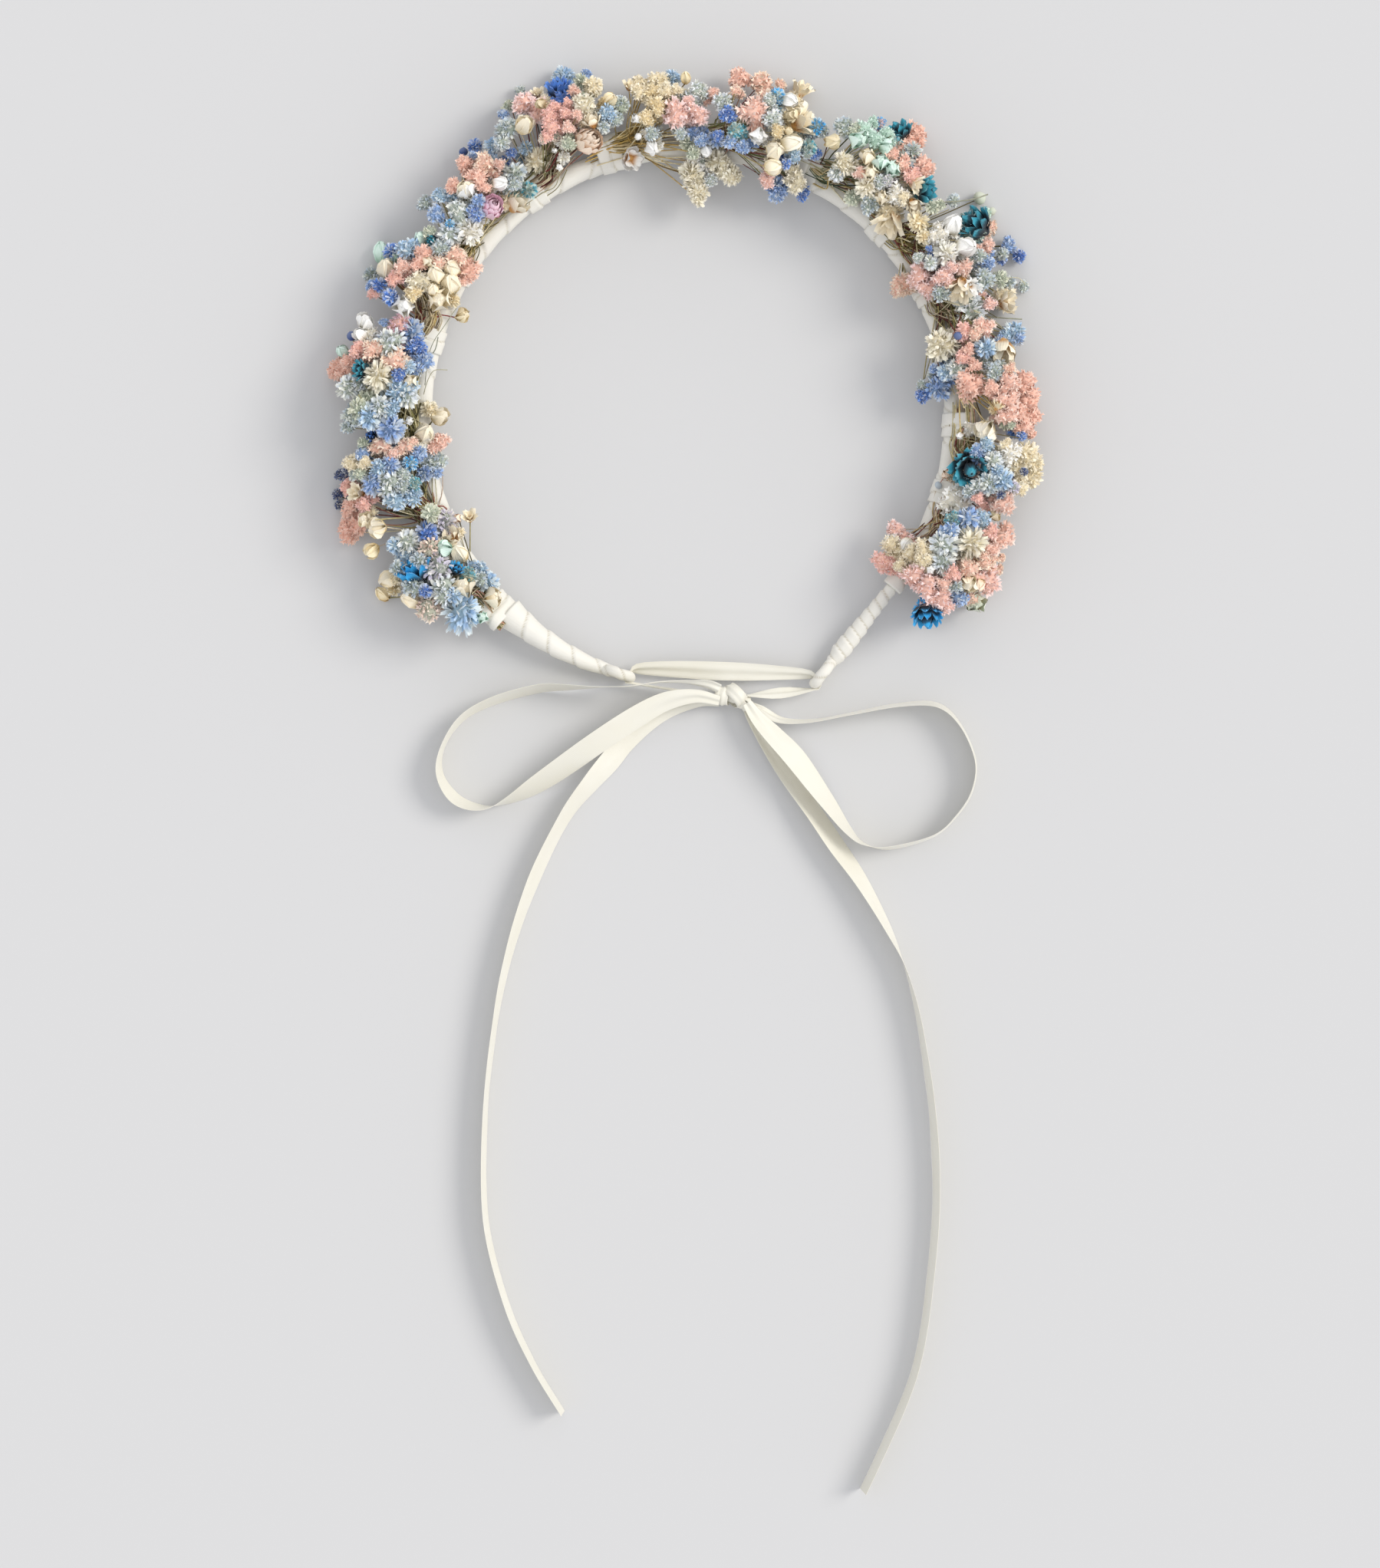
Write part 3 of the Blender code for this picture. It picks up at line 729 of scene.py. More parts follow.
def clockwiseAt(angle):
    outward = outwardAt(angle)
    return Vector((outward.y, -outward.x, 0.0))


rightEnd = band["rightBend"] - math.degrees(band["rightArm"] / band["ringRadius"])


def bandPoint(angle, out=0.0, up=0.0):
    # A point beside the band: out from its centreline and up from it
    centre = band["ringRadius"] * outwardAt(angle)
    if angle < band["rightBend"]:
        run = band["ringRadius"] * math.radians(band["rightBend"] - angle)
        centre += clockwiseAt(angle) * run
    near = min(band["leftEnd"] - angle, angle - rightEnd) / band["tipFall"]
    centre.z = band["tipHeight"] + (band["height"] - band["tipHeight"]) * smoothStep(near) + up
    return centre + out * outwardAt(angle)


def hullOutline(circles, sides):
    # What a tape pulled tight round circles in the band's section follows
    outline = []
    for i in range(sides):
        turn = 2 * math.pi * i / sides
        across, up = math.cos(turn), math.sin(turn)
        out, rise, radius = max(circles, key=lambda c: c[0] * across + c[1] * up + c[2])
        outline.append((out + radius * across, rise + radius * up))
    return outline


tape = {
    "station": 0.42 * mm,
    "sides": 34,
    "edge": 0.42 * mm,  # how far an edge stands up over the turn below
    "wrinkle": 0.22 * mm,
    "skin": 0.25 * mm,  # what the turns add over the sleeve on the band
    "armSkin": 0.2 * mm,
    "ringPitch": 12.0 * mm,  # from one turn's edge to the next one's
    "bindingPitch": 6.0 * mm,
    "overlap": 0.3,  # degrees that the ring's tape runs under each arm's
    "seed": 4,
}


def crepeTape():
    # Stretched floral tape: fine crosswise creases, waxy and slightly warm white, with painted shade: darker and
    # yellower in the valley under each turn's edge
    made, tree, shader = newMaterial("white crepe paper tape, waxed and stretched")
    around = addNode(tree, "ShaderNodeAttribute", attribute_name="around").outputs["Fac"]
    along = addNode(tree, "ShaderNodeAttribute", attribute_name="along").outputs["Fac"]
    seam = addNode(tree, "ShaderNodeAttribute", attribute_name="seam").outputs["Fac"]
    # Creases about 0.4 mm apart round the band and 4 mm long
    lengthwise = addNode(tree, "ShaderNodeMath", {0: along, 1: 240.0}, operation="MULTIPLY")
    crosswise = addNode(tree, "ShaderNodeMath", {0: around, 1: 58.0}, operation="MULTIPLY")
    place = addNode(tree, "ShaderNodeCombineXYZ", {0: crosswise, 1: lengthwise})
    creases = addNode(tree, "ShaderNodeTexNoise", {"Vector": place, "Scale": 1.0, "Detail": 3.0})
    # Painted shade: the tone turns darker and yellower along the valley where each turn's edge steps over the one
    # below
    tone = addNode(
        tree,
        "ShaderNodeMix",
        {0: seam, 6: linearColour("E8E6DE"), 7: linearColour("C4BDAA")},
        data_type="RGBA",
    )
    faint = addNode(
        tree, "ShaderNodeMath", {0: creases.outputs["Fac"], 1: 0.28}, operation="MULTIPLY"
    )
    worn = addNode(
        tree,
        "ShaderNodeMix",
        {0: faint, 6: tone.outputs[2], 7: linearColour("D6D0C0")},
        data_type="RGBA",
    )
    tree.links.new(worn.outputs[2], shader.inputs["Base Color"])
    bump = addNode(
        tree,
        "ShaderNodeBump",
        {"Height": creases.outputs["Fac"], "Strength": 0.5, "Distance": 0.15 * mm},
    )
    tree.links.new(bump.outputs[0], shader.inputs["Normal"])
    shader.inputs["Roughness"].default_value = 0.62
    return made


def woundTapeTree(material):
    # Lifts a sleeve's skin into overlapping slanted turns, and marks the valley under each turn's edge where the
    # tape's material paints shade
    tree, given = newTree(
        "woundTape",
        [("Pitch", "Float"), ("Edge", "Float"), ("Wrinkle", "Float"), ("Seed", "Float")],
    )
    along = addNode(tree, "GeometryNodeInputNamedAttribute", {0: "along"}, data_type="FLOAT")
    around = addNode(tree, "GeometryNodeInputNamedAttribute", {0: "around"}, data_type="FLOAT")
    turns = addNode(tree, "ShaderNodeMath", {0: along, 1: given["Pitch"]}, operation="DIVIDE")
    slanted = addNode(tree, "ShaderNodeMath", {0: turns, 1: around}, operation="ADD")
    share = addNode(tree, "ShaderNodeMath", {0: slanted}, operation="FRACT")
    ramp = addNode(tree, "ShaderNodeMath", {0: 0.8 * mm, 1: given["Pitch"]}, operation="DIVIDE")
    climb = addNode(
        tree, "ShaderNodeMapRange", {0: share, 1: 0.0, 2: ramp}, interpolation_type="SMOOTHSTEP"
    )
    fall = addNode(tree, "ShaderNodeMapRange", {0: share, 1: ramp, 2: 1.0, 3: 1.0, 4: 0.0})
    step = addNode(tree, "ShaderNodeMath", {0: climb, 1: fall}, operation="MULTIPLY")
    lift = addNode(tree, "ShaderNodeMath", {0: step, 1: given["Edge"]}, operation="MULTIPLY")
    place = addNode(tree, "GeometryNodeInputPosition")
    crumple = addNode(
        tree,
        "ShaderNodeTexNoise",
        {"Vector": place, "W": given["Seed"], "Scale": 260.0, "Detail": 2.0},
        noise_dimensions="4D",
    )
    centred = addNode(tree, "ShaderNodeMath", {0: crumple, 1: 0.5}, operation="SUBTRACT")
    waves = addNode(tree, "ShaderNodeMath", {0: centred, 1: given["Wrinkle"]}, operation="MULTIPLY")
    total = addNode(tree, "ShaderNodeMath", {0: lift, 1: waves}, operation="ADD")
    normal = addNode(tree, "GeometryNodeInputNormal")
    offset = addNode(tree, "ShaderNodeVectorMath", {0: normal, "Scale": total}, operation="SCALE")
    # The valley under each turn's edge, where the tape's colour is painted darker as shade
    overlap = addNode(tree, "ShaderNodeMath", {0: 1.0, 1: ramp}, operation="SUBTRACT")
    shadeMask = addNode(
        tree, "ShaderNodeMapRange", {0: share, 1: overlap, 2: 1.0}, interpolation_type="SMOOTHSTEP"
    )
    marked = addNode(
        tree,
        "GeometryNodeStoreNamedAttribute",
        {"Geometry": given["Geometry"], "Name": "seam", "Value": shadeMask},
        data_type="FLOAT",
    )
    moved = addNode(tree, "GeometryNodeSetPosition", {"Geometry": marked, "Offset": offset})
    closeTree(tree, moved, material)
    return tree


floralTape = crepeTape()
tapeTree = woundTapeTree(floralTape)


def tapeSleeve(name, angles, outlineAt, pitch):
    # A capped sleeve of fine rings, then wound by the tree
    bm = bmesh.new()
    alongLayer, aroundLayer = addLayers(bm, "along", "around")
    rings, run, last = [], 0.0, None
    for angle in angles:
        outline = outlineAt(angle)
        centre = bandPoint(angle)
        run += (centre - last).length if last else 0.0
        last = centre
        ring = []
        for k, (out, up) in enumerate(outline):
            vertex = bm.verts.new(bandPoint(angle, out, up))
            vertex[alongLayer] = run
            vertex[aroundLayer] = k / len(outline)
            ring.append(vertex)
        rings.append(ring)
    bridgeRows(bm, rings, closed=True)
    bm.faces.new(rings[0])
    bm.faces.new(rings[-1])
    made = placeMesh(name, meshFrom(name, bm))
    settings = {"Pitch": pitch, "Edge": tape["edge"], "Wrinkle": tape["wrinkle"]}
    runTree(made, tapeTree, {**settings, "Seed": float(tape["seed"])})
    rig.slot(made, "floral_tape")
    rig.ride(made, "crown")
    return made


def anglesBetween(start, end):
    count = max(4, math.ceil(math.radians(abs(end - start)) * band["ringRadius"] / tape["station"]))
    return [start + (end - start) * i / count for i in range(count + 1)]


def radiusFrom(stations, angle):
    # The arm's radius at an angle, in steps from one station to the next
    for (a, first), (b, second) in zip(stations, stations[1:]):
        share = (angle - a) / (b - a)
        if share <= 1.0:
            break
    return (first + (second - first) * min(max(share, 0.0), 1.0)) * mm


def buildBand():
    sides, under = tape["sides"], tape["overlap"]
    ringWrap = tapeSleeve(
        "bandWrap",
        anglesBetween(band["leftWrap"][0][0] - under, band["rightWrap"][0][0] + under),
        lambda a: hullOutline([(0.0, 0.0, band["tapeRadius"] - tape["skin"])], sides),
        tape["ringPitch"],
    )
    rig.replaces(ringWrap, "band_wrap")
    for name, node, stations, pitch in (
        ("leftEndWrap", "left_end_wrap", band["leftWrap"], 10.0 * mm),
        ("rightEndWrap", "right_end_wrap", band["rightWrap"], 4.2 * mm),
    ):
        wrap = tapeSleeve(
            name,
            anglesBetween(stations[0][0], stations[-1][0]),
            lambda a: hullOutline([(0.0, 0.0, radiusFrom(stations, a) - tape["armSkin"])], sides),
            pitch,
        )
        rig.replaces(wrap, node)


def buildEyes():
    # The wire's eyes with the tape carried once round each of them
    bm = bmesh.new()
    alongLayer, aroundLayer = addLayers(bm, "along", "around")
    ends = ((band["leftEnd"], -clockwiseAt(band["leftEnd"])), (rightEnd, clockwiseAt(rightEnd)))
    for angle, along in ends:
        centre = bandPoint(angle) + along * band["eyeHalfLength"]
        side = Vector((along.y, -along.x, 0.0))
        stations, sides, rings = 72, 16, []
        for i in range(stations):
            turn = 2 * math.pi * i / stations
            onLoop = centre + along * band["eyeHalfLength"] * math.cos(turn)
            onLoop.z += band["eyeHalfHeight"] * math.sin(turn)
            slope = along * band["eyeHalfHeight"] * math.cos(turn)
            slope.z = band["eyeHalfLength"] * math.sin(turn)
            slope.normalize()
            ring = []
            for k in range(sides):
                p = 2 * math.pi * k / sides
                lean = slope * math.cos(p) + side * math.sin(p)
                vertex = bm.verts.new(onLoop + band["eyeRod"] * band["eyeTape"] * lean)
                vertex[alongLayer] = band["eyeRun"] * i / stations
                vertex[aroundLayer] = k / sides
                ring.append(vertex)
            rings.append(ring)
        bridgeRows(bm, rings + rings[:1], closed=True)
    made = placeMesh("tapedEyes", meshFrom("tapedEyes", bm))
    runTree(made, tapeTree, {"Pitch": 5.0 * mm, "Edge": 0.3 * mm, "Wrinkle": 0.2 * mm, "Seed": 7.0})
    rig.replaces(made, "frame_wire")
    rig.slot(made, "floral_tape")
    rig.ride(made, "crown")


buildBand()
buildEyes()
print("band and eyes wound with tape")


# Dyes and the darker tones at the petals' roots
dyes = {
    "sky": "BBDAF8",
    "cornflower": "9CBEF0",
    "royal": "5C92E4",
    "navy": "3E5C9A",
    "turquoise": "35B2F0",
    "teal": "3FA6BC",
    "slate": "C9D6E0",
    "mist": "EEF4FA",
    "white": "FFFEFA",
    "ivory": "FCF5E2",
    "cream": "FFF4DA",
    "straw": "FBECC6",
    "mint": "E2F8EC",
    "sage": "DCE2CC",
    "lilac": "E1DAEC",
    "dusty": "F0D6C8",
    "peach": "FFE9D2",
    "coral": "FFD6C2",
    "salmon": "FFE1D2",
    "pink": "FFE3DE",
    "rose": "FFCFC5",
    "hotpink": "FFD9E8",
}
rootTones = {
    "puff": "A9B39F",
    "curd": "F7C4AF",
    "cup": "0E1E2C",
    "paper": "DDA65E",
    "bud": "E9D3A4",
    "ball": "E6AF98",
    "berry": "2A3350",
}
# Where a head's root should follow its dye instead
dyeRoots = {
    "sky": "93AEBC",
    "cornflower": "7F9CC0",
    "royal": "4A72B4",
    "navy": "1D2E60",
    "cream": "F6E6C0",
    "straw": "E6CD98",
    "ivory": "E0D4B2",
    "white": "EEE6D2",
    "mint": "B9D8C4",
}
headKinds = (
    "ball",
    "berry",
    "budA",
    "budB",
    "cupA",
    "cupB",
    "curdA",
    "curdB",
    "curdC",
    "paperA",
    "paperB",
    "puffA",
    "puffB",
    "puffC",
    "puffD",
)
fluffyKinds = ("puff", "curd")


def dyedPetals(name, roughness, frost, veins, sheen, specks, darkest):
    # Petals run from a dark root to a paler tip, each one a little lighter or darker
    made, tree, shader = newMaterial(name)
    read = {}
    for label in ("dye", "root", "tip", "across", "shade"):
        read[label] = addNode(tree, "ShaderNodeAttribute", attribute_name=label)
    rise = addNode(
        tree,
        "ShaderNodeMapRange",
        {0: read["tip"].outputs["Fac"], 1: 0.0, 2: 0.5},
        interpolation_type="SMOOTHSTEP",
    )
    body = addNode(
        tree,
        "ShaderNodeMix",
        {0: rise, 6: read["root"].outputs["Color"], 7: read["dye"].outputs["Color"]},
        data_type="RGBA",
    )
    edge = addNode(
        tree,
        "ShaderNodeMapRange",
        {0: read["tip"].outputs["Fac"], 1: 0.7, 2: 1.0, 3: 0.0, 4: frost},
    )
    pale = addNode(
        tree,
        "ShaderNodeMix",
        {0: edge, 6: body.outputs[2], 7: linearColour("FCFBF6")},
        data_type="RGBA",
    )
    shade = read["shade"].outputs["Fac"]
    faded = addNode(tree, "ShaderNodeMapRange", {0: shade, 1: 0.62, 2: 0.78, 3: 0.0, 4: specks})
    creamy = addNode(
        tree,
        "ShaderNodeMix",
        {0: faded, 6: pale.outputs[2], 7: linearColour("F4F0DA")},
        data_type="RGBA",
    )
    rooted = addNode(tree, "ShaderNodeMapRange", {0: shade, 1: 0.0, 2: 0.14, 3: specks, 4: 0.0})
    leafy = addNode(
        tree,
        "ShaderNodeMix",
        {0: rooted, 6: creamy.outputs[2], 7: read["root"].outputs["Color"]},
        data_type="RGBA",
    )
    light = addNode(tree, "ShaderNodeMapRange", {0: shade, 1: 0.0, 2: 1.0, 3: darkest, 4: 1.06})
    varied = addNode(tree, "ShaderNodeHueSaturation", {"Color": leafy.outputs[2], "Value": light})
    tree.links.new(varied.outputs[0], shader.inputs["Base Color"])
    wave = addNode(
        tree, "ShaderNodeMath", {0: read["across"].outputs["Fac"], 1: veins}, operation="MULTIPLY"
    )
    ridge = addNode(tree, "ShaderNodeMath", {0: wave}, operation="SINE")
    bump = addNode(tree, "ShaderNodeBump", {"Height": ridge, "Strength": 0.3, "Distance": 0.1 * mm})
    tree.links.new(bump.outputs[0], shader.inputs["Normal"])
    shader.inputs["Roughness"].default_value = roughness
    shader.inputs["Specular IOR Level"].default_value = 0.25
    shader.inputs["Sheen Weight"].default_value = sheen
    shader.inputs["Sheen Roughness"].default_value = 0.6
    return made


# Soft fibrous petals, and stiff papery ones with veins that catch the light
fluffyPetals = dyedPetals(
    "dried statice petals, dyed and air-dried",
    roughness=0.9,
    frost=0.35,
    veins=18.0,
    sheen=0.5,
    specks=0.5,
    darkest=0.88,
)
paperyPetals = dyedPetals(
    "dried strawflower bracts, bleached or dyed",
    roughness=0.55,
    frost=0.12,
    veins=40.0,
    sheen=0.15,
    specks=0.0,
    darkest=0.8,
)


def petalMesh(name, rows, columns, cup, notch):
    # One petal standing up from its root; rows are (distance, half width)
    bm = bmesh.new()
    tipLayer, acrossLayer = addLayers(bm, "tip", "across")
    grid = []
    for i, (far, half) in enumerate(rows):
        line = []
        for k in range(columns):
            s = 2 * k / (columns - 1) - 1
            drop = notch * (1 - abs(s)) if i == len(rows) - 1 else 0.0
            vertex = bm.verts.new((half * s, cup * (s * s - 0.5) + 0.1 * far * far, far - drop))
            vertex[tipLayer] = far / rows[-1][0]
            vertex[acrossLayer] = 0.5 + 0.4 * s
            line.append(vertex)
        grid.append(line)
    bridgeRows(bm, grid)
    return meshFrom(name, bm)


def lumpyCore(name, balls):
    # The head's middle, from which its petals stand out; balls are (x, y, z, radius)
    bm = bmesh.new()
    for x, y, z, radius in balls:
        made = bmesh.ops.create_icosphere(bm, subdivisions=1, radius=radius)
        bmesh.ops.translate(bm, verts=made["verts"], vec=(x, y, z))
    tipLayer, acrossLayer = addLayers(bm, "tip", "across")
    for vertex in bm.verts:
        vertex[tipLayer], vertex[acrossLayer] = 0.2, 0.5
    return placeMesh(name, meshFrom(name, bm))


def petalsOnBallTree():
    # Petals stand out all over a core, evenly spaced and each turned its own way
    tree, given = newTree(
        "petalsOnBall",
        [
            ("Petal", "Object"),
            ("Spacing", "Float"),
            ("Length", "Float"),
            ("Spread", "Float"),
            ("Palest", "Float"),
            ("Seed", "Int"),
        ],
    )
    points = addNode(
        tree,
        "GeometryNodeDistributePointsOnFaces",
        {
            "Mesh": given["Geometry"],
            "Distance Min": given["Spacing"],
            "Density Max": 3000.0,
            "Seed": given["Seed"],
        },
        distribute_method="POISSON",
    )
    widest = addNode(
        tree, "ShaderNodeCombineXYZ", {0: given["Spread"], 1: given["Spread"], 2: 3.1416}
    )
    least = addNode(
        tree, "ShaderNodeVectorMath", {0: widest, 1: (-1.0, -1.0, -1.0)}, operation="MULTIPLY"
    )
    lean = addNode(
        tree,
        "FunctionNodeRandomValue",
        {0: least, 1: widest, "Seed": given["Seed"]},
        data_type="FLOAT_VECTOR",
    )
    turned = addNode(
        tree,
        "FunctionNodeRotateRotation",
        {0: points.outputs["Rotation"], 1: lean},
        rotation_space="LOCAL",
    )
    growth = addNode(
        tree, "FunctionNodeRandomValue", {2: 0.75, 3: 1.2, "Seed": given["Seed"]}, data_type="FLOAT"
    )
    size = addNode(
        tree, "ShaderNodeMath", {0: growth.outputs[1], 1: given["Length"]}, operation="MULTIPLY"
    )
    petal = addNode(tree, "GeometryNodeObjectInfo", {"Object": given["Petal"]})
    planted = addNode(
        tree,
        "GeometryNodeInstanceOnPoints",
        {
            "Points": points.outputs["Points"],
            "Instance": petal.outputs["Geometry"],
            "Rotation": turned,
            "Scale": size,
        },
    )
    tone = addNode(
        tree,
        "FunctionNodeRandomValue",
        {2: 0.0, 3: given["Palest"], "Seed": given["Seed"]},
        data_type="FLOAT",
    )
    toned = addNode(
        tree,
        "GeometryNodeStoreNamedAttribute",
        {"Geometry": planted, "Name": "shade", "Value": tone.outputs[1]},
        data_type="FLOAT",
        domain="INSTANCE",
    )
    together = addNode(tree, "GeometryNodeJoinGeometry")
    tree.links.new(given["Geometry"], together.inputs[0])
    tree.links.new(toned.outputs[0], together.inputs[0])
    closeTree(tree, together, fluffyPetals)
    return tree


# Heads are made once at a diameter of 1 and kept out of the scene
headShapes = {
    "starPetal": {
        "rows": ((0.0, 0.14), (0.55, 0.27), (1.0, 0.15)),
        "columns": 3,
        "cup": 0.1,
        "notch": 0.12,
    },
    "frillPetal": {
        "rows": ((0.0, 0.2), (0.6, 0.42), (1.0, 0.5)),
        "columns": 3,
        "cup": 0.2,
        "notch": 0.25,
    },
    "puffA": {
        "core": ((0, 0, 0, 0.24),),
        "petal": "starPetal",
        "spacing": 0.056,
        "length": 0.25,
        "spread": 0.5,
    },
    "puffB": {
        "core": ((0, 0, 0, 0.26),),
        "petal": "starPetal",
        "spacing": 0.062,
        "length": 0.23,
        "spread": 0.7,
    },
    "puffC": {
        "core": ((-0.1, 0, 0, 0.23), (0.13, 0.07, 0.02, 0.21), (0.03, -0.13, -0.02, 0.2)),
        "petal": "frillPetal",
        "spacing": 0.075,
        "length": 0.14,
        "spread": 0.7,
    },
    "puffD": {
        "core": ((0.12, 0.12, 0, 0.21), (-0.15, 0.05, 0.04, 0.2), (0.03, -0.16, 0, 0.2)),
        "petal": "starPetal",
        "spacing": 0.066,
        "length": 0.19,
        "spread": 0.6,
    },
    "curdA": {
        "core": (
            (0, 0, 0.05, 0.26),
            (0.2, 0.05, 0, 0.2),
            (-0.1, 0.2, 0, 0.19),
            (-0.14, -0.17, -0.02, 0.2),
        ),
        "petal": "frillPetal",
        "spacing": 0.082,
        "length": 0.14,
        "spread": 0.7,
    },
    "curdB": {
        "core": (
            (0.08, 0, 0.06, 0.24),
            (-0.2, 0.02, 0.02, 0.21),
            (0.14, 0.2, 0, 0.17),
            (0.06, -0.22, 0, 0.18),
        ),
        "petal": "frillPetal",
        "spacing": 0.082,
        "length": 0.14,
        "spread": 0.7,
    },
    "curdC": {
        "core": (
            (0, 0.04, 0.03, 0.22),
            (0.2, -0.1, 0, 0.19),
            (-0.2, -0.08, 0, 0.19),
            (0, 0.24, -0.03, 0.16),
            (0, -0.2, 0.05, 0.17),
        ),
        "petal": "frillPetal",
        "spacing": 0.084,
        "length": 0.145,
        "spread": 0.65,
    },
}
headStore = bpy.data.collections.new("heads")
petalTree = petalsOnBallTree()


def storeHead(made):
    scene.collection.objects.unlink(made)
    headStore.objects.link(made)


def growFluffyHeads():
    petals = {}
    for name in ("starPetal", "frillPetal"):
        s = headShapes[name]
        mesh = petalMesh(name, s["rows"], s["columns"], s["cup"], s["notch"])
        petals[name] = bpy.data.objects.new(name, mesh)
    for seed, name in enumerate(k for k in headKinds if k[:4] in fluffyKinds):
        s = headShapes[name]
        made = lumpyCore(name, s["core"])
        values = {"Petal": petals[s["petal"]], "Spacing": s["spacing"], "Length": s["length"]}
        values["Palest"] = 1.0 if name[:4] == "puff" else 0.6
        runTree(made, petalTree, {**values, "Spread": s["spread"], "Seed": seed + 3})
        storeHead(made)
        print(name, len(made.data.polygons), "faces")


# Papery heads, ring by ring: count, outline of (reach, height), half width, outward curl
bractRings = {
    "budA": (
        (5, ((0.04, -0.55), (0.24, -0.36), (0.34, 0.0), (0.22, 0.36), (0.02, 0.58)), 0.3, 0.02),
        (4, ((0.03, -0.5), (0.2, -0.3), (0.28, 0.05), (0.16, 0.36), (-0.04, 0.5)), 0.27, -0.02),
    ),
    "budB": (
        (4, ((0.05, -0.5), (0.22, -0.32), (0.38, -0.02), (0.38, 0.26), (0.26, 0.48)), 0.34, 0.04),
        (4, ((0.04, -0.48), (0.18, -0.28), (0.27, 0.05), (0.18, 0.34), (-0.04, 0.46)), 0.28, 0.03),
    ),
    "ball": (
        (10, ((0.06, -0.44), (0.34, -0.34), (0.45, -0.06), (0.42, 0.2), (0.4, 0.3)), 0.17, 0.02),
        (9, ((0.05, -0.4), (0.28, -0.28), (0.38, 0.0), (0.33, 0.28), (0.28, 0.41)), 0.15, 0.0),
        (7, ((0.04, -0.36), (0.2, -0.2), (0.28, 0.08), (0.22, 0.34), (0.14, 0.48)), 0.13, -0.02),
        (4, ((0.03, -0.3), (0.1, -0.1), (0.13, 0.16), (0.1, 0.36), (0.02, 0.5)), 0.12, -0.02),
    ),
    "cupA": (
        (9, ((0.06, -0.4), (0.26, -0.3), (0.38, -0.12), (0.46, 0.02), (0.52, 0.06)), 0.16, 0.03),
        (9, ((0.05, -0.38), (0.2, -0.22), (0.3, 0.02), (0.36, 0.2), (0.4, 0.3)), 0.15, 0.02),
        (6, ((0.04, -0.34), (0.13, -0.14), (0.17, 0.1), (0.12, 0.28), (0.02, 0.42)), 0.14, -0.02),
    ),
    "cupB": (
        (8, ((0.06, -0.42), (0.22, -0.32), (0.34, -0.1), (0.4, 0.14), (0.5, 0.26)), 0.18, 0.04),
        (8, ((0.05, -0.38), (0.16, -0.2), (0.24, 0.05), (0.26, 0.26), (0.28, 0.38)), 0.16, 0.0),
        (5, ((0.03, -0.34), (0.1, -0.14), (0.12, 0.12), (0.1, 0.3), (0.0, 0.42)), 0.13, -0.02),
    ),
    "paperA": (
        (6, ((0.04, -0.5), (0.12, -0.3), (0.24, -0.04), (0.38, 0.2), (0.5, 0.32)), 0.21, 0.05),
        (5, ((0.03, -0.48), (0.08, -0.25), (0.16, 0.02), (0.24, 0.26), (0.3, 0.4)), 0.18, -0.04),
    ),
    "paperB": (
        (5, ((0.04, -0.46), (0.18, -0.3), (0.34, -0.16), (0.46, 0.02), (0.5, 0.16)), 0.25, -0.05),
        (4, ((0.03, -0.46), (0.12, -0.2), (0.22, 0.02), (0.28, 0.22), (0.26, 0.36)), 0.22, 0.04),
    ),
}


def growPaperyHeads():
    luck = random.Random(11)
    for name, layers in bractRings.items():
        bm = bmesh.new()
        tipLayer, acrossLayer, shadeLayer = addLayers(bm, "tip", "across", "shade")
        pointed = name[:3] == "cup"
        for ringIndex, (count, outline, half, curl) in enumerate(layers):
            # Share of each bract that keeps the root's tone
            bare = (0.7 if ringIndex == 2 else 0.4) if pointed else 0.12
            for i in range(count):
                turn = 2 * math.pi * (i + 0.5 * ringIndex) / count + luck.uniform(-0.12, 0.12)
                grow = luck.uniform(0.88, 1.06)
                shade = luck.random()
                rows = spline(outline, 1)
                grid = []
                for n, (reach, height) in enumerate(rows):
                    t = n / (len(rows) - 1)
                    full = math.sin(math.pi * ((0.2 + 0.7 * t) if pointed else (0.12 + 0.7 * t)))
                    line = []
                    for k in range(5):
                        s = k / 2 - 1
                        width = half * full * s * grow
                        near = reach * grow + curl * s * s * 2 * t
                        fray = luck.uniform(-0.03, 0.03) * t
                        x = near * math.cos(turn) - width * math.sin(turn)
                        y = near * math.sin(turn) + width * math.cos(turn)
                        lower = 0.05 * s * s * t + fray
                        vertex = bm.verts.new((x, y, height * grow - lower))
                        vertex[tipLayer] = max(0.0, (t - bare) / (1 - bare))
                        vertex[acrossLayer] = 0.5 + 0.4 * s
                        vertex[shadeLayer] = shade
                        line.append(vertex)
                    grid.append(line)
                bridgeRows(bm, grid)
        seat = bmesh.ops.create_icosphere(bm, subdivisions=2, radius=0.16)
        for vertex in seat["verts"]:
            vertex[tipLayer], vertex[acrossLayer] = 0.0, 0.5
            vertex.co.z = vertex.co.z * 1.2 - 0.34
        storeHead(placeMesh(name, meshFrom(name, bm)))

    bm = bmesh.new()
    (tipLayer,) = addLayers(bm, "tip")
    bmesh.ops.create_icosphere(bm, subdivisions=2, radius=0.5)
    for vertex in bm.verts:
        if vertex.co.z > 0.48:
            vertex.co.z += 0.14
        vertex[tipLayer] = 0.35 + 0.65 * smoothStep(vertex.co.z + 0.5)
    storeHead(placeMesh("berry", meshFrom("berry", bm)))


growFluffyHeads()
growPaperyHeads()
print("heads grown")


